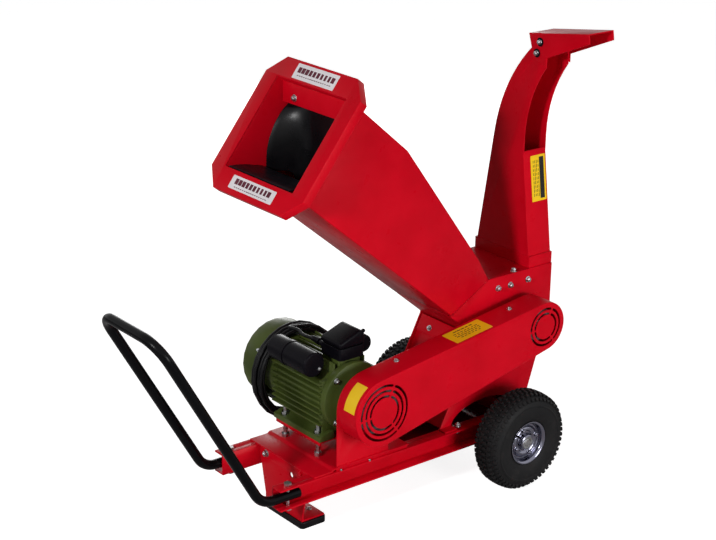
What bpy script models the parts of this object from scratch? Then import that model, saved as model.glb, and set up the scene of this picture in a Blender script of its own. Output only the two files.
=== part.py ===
"""Electric wood chipper: belt-driven drum chipper on a two-wheel hand-cart frame.

+X points from the pull handle to the wheels, +Z points up, and the belt guard is on the -Y side,
called near here. Sizes are in millimetres, and X is measured from the axle while the pieces are
made. The last step moves the origin to the middle of the leg pad's underside, on the ground.
"""
import math

import bmesh
import bpy
from mathutils import Matrix, Vector

MM = 0.001          # one millimetre in scene units
GAP = 0.3           # between two pieces that touch
RUN_FIT = 0.5       # between a shaft and a hole that it turns in

# Wheels and axle
WHEEL_RADIUS = 130.0
TYRE_WIDTH = 85.0
TRACK = 426.0
RIM_RADIUS = 57.5
RIM_WIDTH = 74.0
BEAD_RADIUS = 51.0
HUB_RADIUS = 20.0
BUSH_RADIUS = 19.0
AXLE_RADIUS = 10.0
AXLE_OVERHANG = 34.0
WHEEL_NUT_ACROSS = 30.0
WHEEL_NUT_DEPTH = 11.0

# Frame rails: folded channels, open outwards
FRAME_WIDTH = 275.0
RAIL_HEIGHT = 55.0
RAIL_FLANGE = 35.0
RAIL_WALL = 4.0
RAIL_FRONT_X = -694.0
RAIL_BACK_X = 135.0
RAIL_BELOW_AXLE = 24.0
CROSSBAR = 40.0
CROSSBAR_X = 105.0

# Front leg and its rubber pad
LEG_X = -585.0
LEG_WALL = 5.0
LEG_TOP_HALF = 98.0
LEG_FOOT_HALF = 76.0
LEG_FOOT_DEPTH = 68.0
LEG_TOP_DEPTH = 50.0
PAD_THICKNESS = 18.0
PAD_MARGIN = 4.0

# Motor platform, lifting plate and tension studs
PLATFORM_FRONT_X = -592.0
PLATFORM_BACK_X = -300.0
PLATFORM_WALL = 4.0
PLATFORM_FOLD_X = -530.0
PLATFORM_STEP = 5.0
MOTOR_PLATE_WALL = 3.5
MOTOR_PLATE_LIP = 9.0
STUD_RADIUS = 5.5
STUD_ABOVE_FOOT = 24.0
STUD_NUT_ACROSS = 18.0
STUD_NUT_DEPTH = 9.0

# Motor, frame size 100
MOTOR_X = -438.0
MOTOR_Y = 17.0
MOTOR_AXIS_Z = 317.5
SHAFT_HEIGHT = 100.0
FOOT_SPACING_X = 160.0
FOOT_SPACING_Y = 134.0
FOOT_LENGTH = 188.0
FOOT_WIDTH = 192.0
FOOT_THICKNESS = 12.0
STATOR_RADIUS = 80.0
FIN_REACH = 90.0
FIN_PITCH = 15.0
FIN_THICKNESS = 4.0
FIN_ROWS_DOWN = 4
FIN_ROWS_UP = 3
FLANGE_HALF = 80.0
FLANGE_TOP = 52.0
FLANGE_THICKNESS = 14.0
STATOR_BORE = 64.0
REAR_SHELL_RADIUS = 84.0
STATOR_FRONT_Y = -66.0
FINS_BACK_Y = 128.0
STATOR_BACK_Y = 178.0
BELL_NOSE_Y = -118.0
BELL_RADIUS = 88.0
FAN_COVER_RADIUS = 102.0
FAN_COVER_BACK_Y = 245.0
FAN_COVER_WALL = 2.5
MOTOR_SHAFT_RADIUS = 14.0
MOTOR_CORE_RADIUS = 55.0
FAN_RADIUS = 84.0
FAN_BLADES = 6
FAN_HUB_RADIUS = 24.0
FAN_DEPTH = 26.0
BOX_WIDTH = 76.0
BOX_LENGTH = 78.0
BOX_HEIGHT = 30.0
BOX_FRONT_Y = -78.0
BOX_LIFT = 6.5
LID_HEIGHT = 36.0
LID_SIDE = 14.0
LID_ROUND = 13.0
CAPACITOR_RADIUS = 31.0
CAPACITOR_LENGTH = 152.0
CAPACITOR_X = -536.0
CAPACITOR_Z = 414.0
CAPACITOR_FRONT_Y = -56.0

# Mains cord, wound on the rear of the motor
CORD_RADIUS = 4.5
CORD_FIT = 0.6
COIL_PITCH = 9.8
COIL_LAYERS = 4
COIL_TURNS_PER_LAYER = 1.8
COIL_INNER_RADIUS = 106.0
COIL_DROP = 13.0
COIL_FIRST_Y = 138.5
COIL_POINTS_PER_TURN = 24
CORD_TAIL = 96.0
PLUG_RADIUS = 18.0
PLUG_LENGTH = 52.0
PIN_LENGTH = 19.0

# Belt drive
ROTOR_X = 83.0
ROTOR_AXIS_Z = 412.0
MOTOR_PULLEY_RADIUS = 60.0
ROTOR_PULLEY_RADIUS = 43.0
BELT_HALF_TOP = 6.4
BELT_HALF_BOTTOM = 4.4
BELT_HEIGHT = 10.0
GROOVE_DEPTH = 13.0
GROOVE_SPACING = 17.0
PULLEY_WIDTH = 37.0
PULLEY_Y = -162.5
PULLEY_SPOKE_WALL = 9.0

# Belt guard
GUARD_BIG_RADIUS = 86.0
GUARD_SMALL_RADIUS = 65.0
GUARD_FACE_Y = -204.0
GUARD_BACK_Y = -129.0
GUARD_WALL = 2.5
GUARD_PLATE_WALL = 3.0
GUARD_LEG_WIDTH = 159.0
VENT_SLOT = 6.2
GUARD_NOSE_HOLE = 48.0
BIG_VENT_RADII = (69.0, 55.5, 42.0)
SMALL_VENT_RADII = (48.5, 35.5)
VENT_BRIDGE_ANGLE = 66.0
VENT_BRIDGE = 10.0

# Rotor, housing and stand
HOUSING_HALF = 105.0
HOUSING_WALL = 5.0
HOUSING_RADIUS = 110.0
HOUSING_TOP_Z = 533.0
HOUSING_BACK_X = 193.0
DRUM_RADIUS = 72.0
DRUM_HALF = 96.0
KNIFE_TIP_RADIUS = 90.0
KNIFE_THICKNESS = 8.0
KNIFE_DEPTH = 34.0
ANVIL_THICKNESS = 14.0
ANVIL_LENGTH = 52.0
ROTOR_SHAFT_RADIUS = 15.0
BEARING_SIZE = 92.0
BEARING_FLANGE = 12.0
BEARING_BOSS = 33.0
STAND_WALL = 4.0
STAND_TOP_Z = 428.0
STAND_FRONT_X = -179.0
STAND_FRONT_SLOPE = 0.5
STAND_WAIST_IN = 38.0
STAND_WAIST_Z = 300.0
STAND_SHOULDER_Z = 400.0
STAND_FRONT_SETBACK = 10.0
STAND_BACK_X = 111.0
STAND_FOOT_WIDTH = 27.0
ARCH_X = -27.0
ARCH_HALF_WIDTH = 113.0
ARCH_HEIGHT = 51.0
THROAT_PLATE_LOW_Z = 347.0
THROAT_PLATE_HIGH_Z = 388.0
THROAT_PLATE_HALF = 100.0
THROAT_PLATE_WALL = 4.0

# Feed hopper
HOPPER_WALL = 3.0
MOUTH_TOP = (-477.0, 1120.0)
MOUTH_TILT = 37.6
MOUTH_HEIGHT = 354.0
MOUTH_WIDTH = 358.0
MOUTH_CHAMFER = 48.0
MOUTH_LIP = 24.0
MOUTH_OPENING_TOP = 52.0
MOUTH_OPENING_HEIGHT = 244.0
MOUTH_OPENING_WIDTH = 262.0
HOPPER_KINK = (-322.0, 925.0)
HOPPER_FOLD_TOP = (-75.0, 600.0)
HOPPER_FOLD_BOTTOM = (-162.0, 474.0)
HOPPER_FOLD_HALF = 118.0
CURTAIN_INSET = 58.0
CURTAIN_BAR_FLANGE = 26.0
CURTAIN_BAR_DROP = 22.0
CURTAIN_BAR_WALL = 3.0
CURTAIN_LENGTH = 215.0
CURTAIN_WALL = 4.0
CURTAIN_SIDE_GAP = 7.0

# Discharge chute and deflector
CHUTE_FRONT_X = 115.0
CHUTE_WIDTH = 77.0
CHUTE_WALL = 3.0
CHUTE_FOOT_HALF = 101.0
CHUTE_BEND_RISE = 238.0
CHUTE_REAR_Y = 48.0
CHUTE_NECK_Y = -61.0
CHUTE_REAR_BEND = 429.0
CHUTE_NECK_BEND = 325.0
CHUTE_COVER_TOP_Z = 832.0
CHUTE_TOP_Z = 1104.0
CHUTE_BEND_Z = CHUTE_TOP_Z - CHUTE_BEND_RISE
DEFLECTOR_PIVOT = (-95.0, CHUTE_TOP_Z - 12.0)
DEFLECTOR_LENGTH = 205.0
DEFLECTOR_RISE = 9.3
DEFLECTOR_LIFT = 46.0
DEFLECTOR_CHEEK = 24.0
DEFLECTOR_BOLT_RADIUS = 5.0

# Pull handle
HANDLE_TUBE_RADIUS = 12.5
HANDLE_HALF = 120.0
HANDLE_END_X = -629.0
HANDLE_KNEE_X = -737.0
HANDLE_TOP = (-1010.0, 604.0)
HANDLE_BEND = 58.0
HANDLE_BOLT_X = -661.0
HANDLE_BOLT_RADIUS = 5.0

# Places worked out from the sizes above
AXLE_Z = WHEEL_RADIUS
RAIL_Z = AXLE_Z - RAIL_BELOW_AXLE
RAIL_TOP = RAIL_Z + RAIL_HEIGHT
RAIL_OUT = FRAME_WIDTH / 2
RAIL_WEB = RAIL_OUT - RAIL_FLANGE
WHEEL_Y = TRACK / 2
MOTOR_BASE_Z = MOTOR_AXIS_Z - SHAFT_HEIGHT
PLATFORM_TOP = RAIL_TOP + GAP + PLATFORM_STEP + PLATFORM_WALL
HOUSING_STAND_Y = HOUSING_HALF + GAP
BEARING_Y = HOUSING_STAND_Y + STAND_WALL + GAP
CHUTE_BACK_X = CHUTE_FRONT_X + CHUTE_WIDTH
ORIGIN_X = LEG_X + LEG_FOOT_DEPTH / 2
DRIVE_ANGLE = math.atan2(ROTOR_AXIS_Z - MOTOR_AXIS_Z, ROTOR_X - MOTOR_X)
DRIVE_CENTRES = math.hypot(ROTOR_AXIS_Z - MOTOR_AXIS_Z, ROTOR_X - MOTOR_X)

FINISHES = {
    "red_paint": ((0.52, 0.012, 0.02), 0.32, 0.0),
    "black_paint": ((0.012, 0.012, 0.013), 0.25, 0.0),
    "zinc": ((0.62, 0.62, 0.60), 0.30, 1.0),
    "steel": ((0.36, 0.36, 0.37), 0.35, 1.0),
    "chrome": ((0.80, 0.80, 0.82), 0.08, 1.0),
    "tyre": ((0.014, 0.014, 0.014), 0.75, 0.0),
    "rubber": ((0.016, 0.016, 0.016), 0.60, 0.0),
    "plastic": ((0.013, 0.013, 0.015), 0.35, 0.0),
    "motor_green": ((0.062, 0.095, 0.028), 0.42, 0.1),
    "cast_iron": ((0.10, 0.11, 0.11), 0.55, 0.7),
    "cord": ((0.010, 0.010, 0.011), 0.45, 0.0),
}


def finish(name):
    """Return the named material, made on first use."""
    made = bpy.data.materials.get(name)
    if made:
        return made
    colour, roughness, metallic = FINISHES[name]
    made = bpy.data.materials.new(name)
    made.use_nodes = True
    shader = made.node_tree.nodes["Principled BSDF"]
    shader.inputs["Base Color"].default_value = (*colour, 1.0)
    shader.inputs["Roughness"].default_value = roughness
    shader.inputs["Metallic"].default_value = metallic
    made.diffuse_color = (*colour, 1.0)
    return made


def add_mesh(name, bm, material, smooth=False):
    """Turn a bmesh in millimetres into a scene object in metres."""
    bmesh.ops.recalc_face_normals(bm, faces=bm.faces[:])
    bmesh.ops.scale(bm, vec=(MM, MM, MM), verts=bm.verts[:])
    mesh = bpy.data.meshes.new(name)
    bm.to_mesh(mesh)
    bm.free()
    if smooth:
        mesh.shade_smooth()
        mesh.set_sharp_from_angle(angle=math.radians(35))
    made = bpy.data.objects.new(name, mesh)
    bpy.context.collection.objects.link(made)
    made.data.materials.append(finish(material))
    return made


def prism(name, outline, axis, low, high, material="red_paint", place=None, smooth=False):
    """Extrude a 2D outline along X, Y or Z from low to high."""
    order = {"X": lambda a, b, t: (t, a, b), "Y": lambda a, b, t: (a, t, b),
             "Z": lambda a, b, t: (a, b, t)}[axis]
    bm = bmesh.new()
    bottom = [bm.verts.new(order(a, b, low)) for a, b in outline]
    top = [bm.verts.new(order(a, b, high)) for a, b in outline]
    bm.faces.new(bottom)
    bm.faces.new(top[::-1])
    count = len(outline)
    for i in range(count):
        j = (i + 1) % count
        bm.faces.new((bottom[i], top[i], top[j], bottom[j]))
    if place is not None:
        bmesh.ops.transform(bm, matrix=place, verts=bm.verts[:])
    return add_mesh(name, bm, material, smooth)


def block(name, x, y, z, material="red_paint", place=None):
    """Make a block from its low and high X, Y and Z."""
    outline = [(x[0], y[0]), (x[1], y[0]), (x[1], y[1]), (x[0], y[1])]
    return prism(name, outline, "Z", z[0], z[1], material, place)


def turned(name, profile, centre, material, steps=48, closed=True):
    """Spin a closed profile of (radius, y) points round the Y axis through centre (x, z)."""
    bm = bmesh.new()
    rings = []
    for k in range(steps):
        angle = 2 * math.pi * k / steps
        c, s = math.cos(angle), math.sin(angle)
        rings.append([bm.verts.new((centre[0] + r * c, y, centre[1] + r * s)) for r, y in profile])
    count = len(profile)
    for k in range(steps):
        here, there = rings[k], rings[(k + 1) % steps]
        for i in range(count if closed else count - 1):
            j = (i + 1) % count
            bm.faces.new((here[i], here[j], there[j], there[i]))
    if not closed:
        bm.faces.new([ring[0] for ring in rings])
        bm.faces.new([ring[-1] for ring in rings][::-1])
    return add_mesh(name, bm, material, smooth=True)


def rod(name, radius, centre, low, high, material="steel", steps=24, chamfer=0.0):
    """Make a round bar along Y."""
    ends = [(radius, low), (radius, high)]
    if chamfer:
        ends = [(radius - chamfer, low), (radius, low + chamfer), (radius, high - chamfer),
                (radius - chamfer, high)]
    return turned(name, ends, centre, material, steps, closed=False)


def swept(name, path, radius, material, sides=16):
    """Make a round bar along a path of points."""
    bm = bmesh.new()
    points = [Vector(p) for p in path]
    up = Vector((0, 1, 0)) if abs((points[1] - points[0]).normalized().y) < 0.9 else Vector((0, 0, 1))
    rings = []
    for i, point in enumerate(points):
        before = points[max(i - 1, 0)]
        after = points[min(i + 1, len(points) - 1)]
        along = (after - before).normalized()
        side = along.cross(up).normalized()
        up = side.cross(along).normalized()
        ring = []
        for k in range(sides):
            angle = 2 * math.pi * k / sides
            ring.append(bm.verts.new(point + (side * math.cos(angle) + up * math.sin(angle)) * radius))
        rings.append(ring)
    for here, there in zip(rings, rings[1:]):
        for k in range(sides):
            m = (k + 1) % sides
            bm.faces.new((here[k], here[m], there[m], there[k]))
    bm.faces.new(rings[0][::-1])
    bm.faces.new(rings[-1])
    return add_mesh(name, bm, material, smooth=True)


def arc(centre, radius, start, end, steps, squash=1.0):
    """Return points on an arc, angles in degrees, squashed in its second direction."""
    out = []
    for k in range(steps + 1):
        angle = math.radians(start + (end - start) * k / steps)
        out.append((centre[0] + radius * math.cos(angle), centre[1] + radius * squash * math.sin(angle)))
    return out


def rounded(x, y, radius, steps=5):
    """Return a rectangle's outline with round corners."""
    out = arc((x[1] - radius, y[1] - radius), radius, 0, 90, steps)
    out += arc((x[0] + radius, y[1] - radius), radius, 90, 180, steps)
    out += arc((x[0] + radius, y[0] + radius), radius, 180, 270, steps)
    out += arc((x[1] - radius, y[0] + radius), radius, 270, 360, steps)
    return out


def fillet_path(corners, radius, steps=5):
    """Round the inner corners of a path of 3D points."""
    points = [Vector(c) for c in corners]
    out = [points[0]]
    for before, corner, after in zip(points, points[1:], points[2:]):
        a = (before - corner).normalized()
        b = (after - corner).normalized()
        half = a.angle(b) / 2
        reach = radius / math.tan(half)
        centre = corner + (a + b).normalized() * (radius / math.sin(half))
        start = corner + a * reach - centre
        end = corner + b * reach - centre
        turn = start.angle(end)
        for k in range(steps + 1):
            t = k / steps
            share = (start * math.sin((1 - t) * turn) + end * math.sin(t * turn)) / math.sin(turn)
            out.append(centre + share)
    out.append(points[-1])
    return out


def folded(line, wall):
    """Return the outline of a sheet of the given wall, its outer side on the open line."""
    points = [Vector(p) for p in line]
    inner = []
    for i, point in enumerate(points):
        normals = []
        if i:
            d = (point - points[i - 1]).normalized()
            normals.append(Vector((-d.y, d.x)))
        if i < len(points) - 1:
            d = (points[i + 1] - point).normalized()
            normals.append(Vector((-d.y, d.x)))
        if len(normals) == 1:
            inner.append(point + normals[0] * wall)
        else:
            total = normals[0] + normals[1]
            inner.append(point + total * (wall / (1 + normals[0].dot(normals[1]))))
    return [tuple(p) for p in points] + [tuple(p) for p in inner[::-1]]


def hexagon(centre, across, turn=0.0):
    """Return a hexagon's corners from its width across flats."""
    return arc(centre, across / math.sqrt(3), turn, turn + 300, 5)


def boolean(target, tool, operation):
    """Add a Boolean modifier, and hide its tool."""
    modifier = target.modifiers.new(f"{operation.lower()}_{tool.name}", "BOOLEAN")
    modifier.operation = operation
    modifier.object = tool
    modifier.solver = "EXACT"
    tool.hide_render = True
    tool.display_type = "WIRE"
    if target.parent:
        tool.parent = target.parent
    return target


def cut(target, *tools):
    """Cut each tool from the target."""
    for tool in tools:
        boolean(target, tool, "DIFFERENCE")
    return target


def join(target, *tools):
    """Fuse each tool with the target."""
    for tool in tools:
        boolean(target, tool, "UNION")
    return target


def drill(target, name, radius, axis, centre, low, high, steps=16):
    """Cut a round hole along an axis."""
    return cut(target, prism(name, arc(centre, radius, 0, 360 - 360 / steps, steps - 1), axis, low, high))


def pivot(name, x, y, z):
    """Make the empty that stands on a joint's axis."""
    empty = bpy.data.objects.new(name, None)
    empty.location = (x * MM, y * MM, z * MM)
    bpy.context.collection.objects.link(empty)
    return empty


def hang_on(empty, *pieces):
    """Parent pieces to a joint's empty, and put their origins there."""
    for piece in pieces:
        tools = [m.object for m in piece.modifiers if m.type == "BOOLEAN"]
        for item in [piece] + tools:
            if item.parent is None:
                item.data.transform(Matrix.Translation(-empty.location))
                item.parent = empty


def sides():
    """Yield the name and the sign of each side of the frame."""
    return (("near", -1), ("far", 1))


def span(a, b):
    """Return two values in rising order."""
    return (min(a, b), max(a, b))


def make_rails():
    """Two channels with holes for the axle and the handle bolts."""
    for side, s in sides():
        z0, z1, t = RAIL_Z, RAIL_TOP, RAIL_WALL
        outline = [(s * RAIL_OUT, z0), (s * RAIL_WEB, z0), (s * RAIL_WEB, z1), (s * RAIL_OUT, z1),
                   (s * RAIL_OUT, z1 - t), (s * (RAIL_WEB + t), z1 - t), (s * (RAIL_WEB + t), z0 + t),
                   (s * RAIL_OUT, z0 + t)]
        rail = prism(f"rail_{side}", outline, "X", RAIL_FRONT_X, RAIL_BACK_X)
        low, high = span(s * (RAIL_WEB - 10), s * (RAIL_WEB + t + 10))
        drill(rail, f"axle_hole_{side}", AXLE_RADIUS + GAP, "Y", (0, AXLE_Z), low, high)
        drill(rail, f"handle_bolt_hole_{side}", HANDLE_BOLT_RADIUS + GAP, "Z",
              (HANDLE_BOLT_X, s * HANDLE_HALF),
              z0 - 10, z1 + 10, 16)


def make_crossbar():
    """Square tube between the rails behind the axle."""
    half = RAIL_WEB - GAP
    mid = RAIL_Z + RAIL_HEIGHT / 2
    low, high = mid - CROSSBAR / 2, mid + CROSSBAR / 2
    x = (CROSSBAR_X - CROSSBAR / 2, CROSSBAR_X + CROSSBAR / 2)
    bar = block("rear_crossbar", x, (-half, half), (low, high))
    bore = block("crossbar_bore", (x[0] + RAIL_WALL, x[1] - RAIL_WALL), (-half - 5, half + 5),
                 (low + RAIL_WALL, high - RAIL_WALL))
    cut(bar, bore)


def make_leg():
    """Bent front leg with its foot, and the rubber pad under it."""
    top = RAIL_TOP
    foot = PAD_THICKNESS + GAP
    line = [(LEG_X + LEG_TOP_DEPTH, top), (LEG_X, top), (LEG_X, foot), (LEG_X + LEG_FOOT_DEPTH, foot)]
    leg = prism("front_leg", folded(line, LEG_WALL), "Y", -LEG_TOP_HALF, LEG_TOP_HALF)
    for side, s in sides():
        wedge = [(s * LEG_FOOT_HALF, foot - 5), (s * (LEG_TOP_HALF + 5), foot - 5),
                 (s * (LEG_TOP_HALF + 5), top - LEG_TOP_DEPTH / 2),
                 (s * LEG_TOP_HALF, top - LEG_TOP_DEPTH / 2),
                 (s * LEG_FOOT_HALF, foot + LEG_WALL + 14)]
        cut(leg, prism(f"leg_taper_{side}", wedge, "X", LEG_X - 5, LEG_X + LEG_FOOT_DEPTH + 5))
    drill(leg, "leg_hole", 7.0, "X", (-30.0, 128.0), LEG_X - 5, LEG_X + LEG_WALL + 5, 16)
    x = (LEG_X - PAD_MARGIN, LEG_X + LEG_FOOT_DEPTH + PAD_MARGIN)
    y = (-LEG_FOOT_HALF - PAD_MARGIN, LEG_FOOT_HALF + PAD_MARGIN)
    prism("leg_pad", rounded(x, y, 10), "Z", 0, PAD_THICKNESS, "rubber")


def make_axle_and_wheels():
    """Axle, its bushes in the channels, and two wheels with nuts."""
    end = WHEEL_Y + AXLE_OVERHANG
    rod("axle", AXLE_RADIUS, (0, AXLE_Z), -end, end, "steel", chamfer=1.5)
    for side, s in sides():
        inner = s * (RAIL_WEB + RAIL_WALL + GAP)
        outer = s * (RAIL_OUT + 14)
        bush = [(AXLE_RADIUS + GAP, inner), (BUSH_RADIUS, inner), (BUSH_RADIUS, s * RAIL_OUT), (16, outer),
                (AXLE_RADIUS + GAP, outer)]
        turned(f"axle_bush_{side}", bush, (0, AXLE_Z), "zinc", 16)
        axis = pivot(f"wheel_{side}_axis", 0, s * WHEEL_Y, AXLE_Z)
        half = RIM_WIDTH / 2
        bore = AXLE_RADIUS + RUN_FIT
        hub_end = half - 15
        rim = [(bore, -half), (HUB_RADIUS, -half), (HUB_RADIUS, 2), (44, 2), (RIM_RADIUS - 7, -half),
               (RIM_RADIUS, -half), (RIM_RADIUS, 2.5 - half), (BEAD_RADIUS, 6 - half),
               (BEAD_RADIUS, half - 6),
               (RIM_RADIUS, half - 2.5), (RIM_RADIUS, half), (RIM_RADIUS - 7, half), (44, 7), (HUB_RADIUS, 7),
               (HUB_RADIUS, hub_end), (bore, hub_end)]
        rim_piece = turned(f"rim_{side}", [(r, s * (WHEEL_Y + u)) for r, u in rim], (0, AXLE_Z), "chrome", 22)
        wide = TYRE_WIDTH / 2
        bead, lip = BEAD_RADIUS + GAP, RIM_RADIUS + GAP
        face = half - 6.5
        tyre = [(bead, -face), (bead, face), (lip + 0.4, half - 3.2), (lip + 9, wide - 4), (lip + 32, wide),
                (WHEEL_RADIUS - 10, wide - 6), (WHEEL_RADIUS, wide - 20)]
        tyre += [(r, -u) for r, u in tyre[:1:-1]]
        tyre_piece = turned(f"tyre_{side}", [(r, s * (WHEEL_Y + u)) for r, u in tyre], (0, AXLE_Z), "tyre",
                            22)
        hang_on(axis, rim_piece, tyre_piece)
        low, high = span(s * (WHEEL_Y + hub_end + GAP), s * (WHEEL_Y + hub_end + GAP + WHEEL_NUT_DEPTH))
        nut = prism(f"wheel_nut_{side}", hexagon((0, AXLE_Z), WHEEL_NUT_ACROSS), "Y", low, high, "zinc")
        drill(nut, f"wheel_nut_bore_{side}", AXLE_RADIUS + GAP, "Y", (0, AXLE_Z), low - 5, high + 5)


def make_handle():
    """U-shaped pull handle with its ends in the channels, and one bolt a side."""
    mid = RAIL_Z + RAIL_HEIGHT / 2
    top_x, top_z = HANDLE_TOP
    h = HANDLE_HALF
    corners = [(HANDLE_END_X, -h, mid), (HANDLE_KNEE_X, -h, mid), (top_x, -h, top_z), (top_x, h, top_z),
               (HANDLE_KNEE_X, h, mid), (HANDLE_END_X, h, mid)]
    handle = swept("handle", fillet_path(corners, HANDLE_BEND), HANDLE_TUBE_RADIUS, "black_paint", 12)
    for side, s in sides():
        y = s * h
        hole = HANDLE_BOLT_RADIUS + GAP
        drill(handle, f"handle_hole_{side}", hole, "Z", (HANDLE_BOLT_X, y), RAIL_Z - 10, RAIL_TOP + 10, 16)
        shank_low = RAIL_Z - GAP - 9
        head_low = RAIL_TOP + GAP
        bolt = prism(f"handle_bolt_{side}", arc((HANDLE_BOLT_X, y), HANDLE_BOLT_RADIUS, 0, 337.5, 15), "Z",
                     shank_low, head_low + 1, "zinc")
        head = prism(f"bolt_head_{side}", hexagon((HANDLE_BOLT_X, y), 17), "Z", head_low, head_low + 6.4,
                     "zinc")
        nut = prism(f"bolt_nut_{side}", hexagon((HANDLE_BOLT_X, y), 17), "Z", shank_low + 1, RAIL_Z - GAP,
                    "zinc")
        join(bolt, head, nut)


def make_platform():
    """Folded platform on the rails, the lifting plate under the motor, and four tension studs."""
    low = RAIL_TOP + GAP
    t = PLATFORM_WALL
    line = [(PLATFORM_FRONT_X, low), (PLATFORM_FOLD_X - 8, low), (PLATFORM_FOLD_X, low + PLATFORM_STEP),
            (PLATFORM_BACK_X, low + PLATFORM_STEP)]
    platform = prism("motor_platform", folded(line, t), "Y", -RAIL_OUT + 4, RAIL_OUT - 4)
    for side, s in sides():
        y = span(s * (RAIL_WEB + 4), s * (RAIL_OUT - 4))
        join(platform, block(f"platform_pad_{side}", (PLATFORM_FOLD_X + 4, PLATFORM_BACK_X - 4), y,
                             (low, low + PLATFORM_STEP + 1)))
    high = MOTOR_BASE_Z - GAP
    half_x = FOOT_WIDTH / 2 - 1
    low_z = high - MOTOR_PLATE_LIP
    y = (MOTOR_Y - FOOT_LENGTH / 2 + 1, MOTOR_Y + FOOT_LENGTH / 2 - 8)
    line = [(MOTOR_X + half_x, low_z), (MOTOR_X + half_x, high), (MOTOR_X - half_x, high),
            (MOTOR_X - half_x, low_z)]
    plate = prism("motor_plate", folded(line, MOTOR_PLATE_WALL), "Y", *y)
    floor = PLATFORM_TOP + GAP
    top = MOTOR_BASE_Z + FOOT_THICKNESS + STUD_ABOVE_FOOT
    number = 0
    for sx in (-1, 1):
        for sy in (-1, 1):
            number += 1
            centre = (MOTOR_X + sx * FOOT_SPACING_X / 2, MOTOR_Y + sy * FOOT_SPACING_Y / 2)
            drill(plate, f"plate_hole_{number}", STUD_RADIUS + GAP, "Z", centre, high - 20, high + 5, 16)
            stud = prism(f"motor_stud_{number}", arc(centre, STUD_RADIUS, 0, 324, 9), "Z", floor, top, "zinc")
            plate_low = high - MOTOR_PLATE_WALL - GAP
            foot_top = MOTOR_BASE_Z + FOOT_THICKNESS + GAP
            for tag, base in (("base", floor), ("under", plate_low - STUD_NUT_DEPTH), ("over", foot_top)):
                nut = prism(f"stud_nut_{tag}_{number}", hexagon(centre, STUD_NUT_ACROSS), "Z", base,
                            base + STUD_NUT_DEPTH, "zinc")
                join(stud, nut)


def motor_feet(shell):
    """Fuse two feet and their webs with the stator shell, and drill the feet."""
    low = MOTOR_BASE_Z
    y = (MOTOR_Y - FOOT_LENGTH / 2, MOTOR_Y + FOOT_LENGTH / 2)
    for tag, s in (("front", -1), ("back", 1)):
        outer = MOTOR_X + s * FOOT_WIDTH / 2
        web = MOTOR_X + s * (STATOR_RADIUS - 14)
        inner = MOTOR_X + s * (STATOR_RADIUS - 28)
        foot = low + FOOT_THICKNESS
        pad = [(outer, low), (outer, foot), (web, foot + 8), (inner, foot + 8), (inner, low)]
        rib = [(web, foot), (web + s * 6, MOTOR_AXIS_Z - 35), (inner, MOTOR_AXIS_Z - 35), (inner, foot)]
        join(shell, prism(f"motor_foot_{tag}", pad, "Y", *y))
        join(shell, prism(f"foot_rib_{tag}", rib, "Y", STATOR_FRONT_Y, y[1]))
        for sy in (-1, 1):
            centre = (MOTOR_X + s * FOOT_SPACING_X / 2, MOTOR_Y + sy * FOOT_SPACING_Y / 2)
            drill(shell, f"foot_hole_{tag}_{sy + 1}", STUD_RADIUS + GAP + 0.5, "Z", centre, low - 5,
                  low + FOOT_THICKNESS + 22, 12)
            cut(shell, prism(f"foot_seat_{tag}_{sy + 1}", arc(centre, STUD_NUT_ACROSS * 0.66, 0, 330, 11),
                             "Z",
                             low + FOOT_THICKNESS, low + FOOT_THICKNESS + STUD_ABOVE_FOOT + 2))


def finned_outline():
    """Return the stator's outline: level fins on both sides, upright fins on top, round below."""
    half = FIN_THICKNESS / 2
    outline = []
    for turn, rows in ((0, range(-FIN_ROWS_DOWN, FIN_ROWS_UP + 1)),
                       (90, range(-FIN_ROWS_UP, FIN_ROWS_UP + 1)),
                       (180, range(-FIN_ROWS_UP, FIN_ROWS_DOWN + 1))):
        c, s = math.cos(math.radians(turn)), math.sin(math.radians(turn))
        for row in rows:
            low, high = row * FIN_PITCH - half, row * FIN_PITCH + half
            for out, along in ((math.sqrt(STATOR_RADIUS ** 2 - low ** 2), low), (FIN_REACH, low),
                               (FIN_REACH, high),
                               (math.sqrt(STATOR_RADIUS ** 2 - high ** 2), high)):
                outline.append((MOTOR_X + out * c - along * s, MOTOR_AXIS_Z + out * s + along * c))
    return outline + arc((MOTOR_X, MOTOR_AXIS_Z), STATOR_RADIUS, 240, 300, 4)


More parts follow.
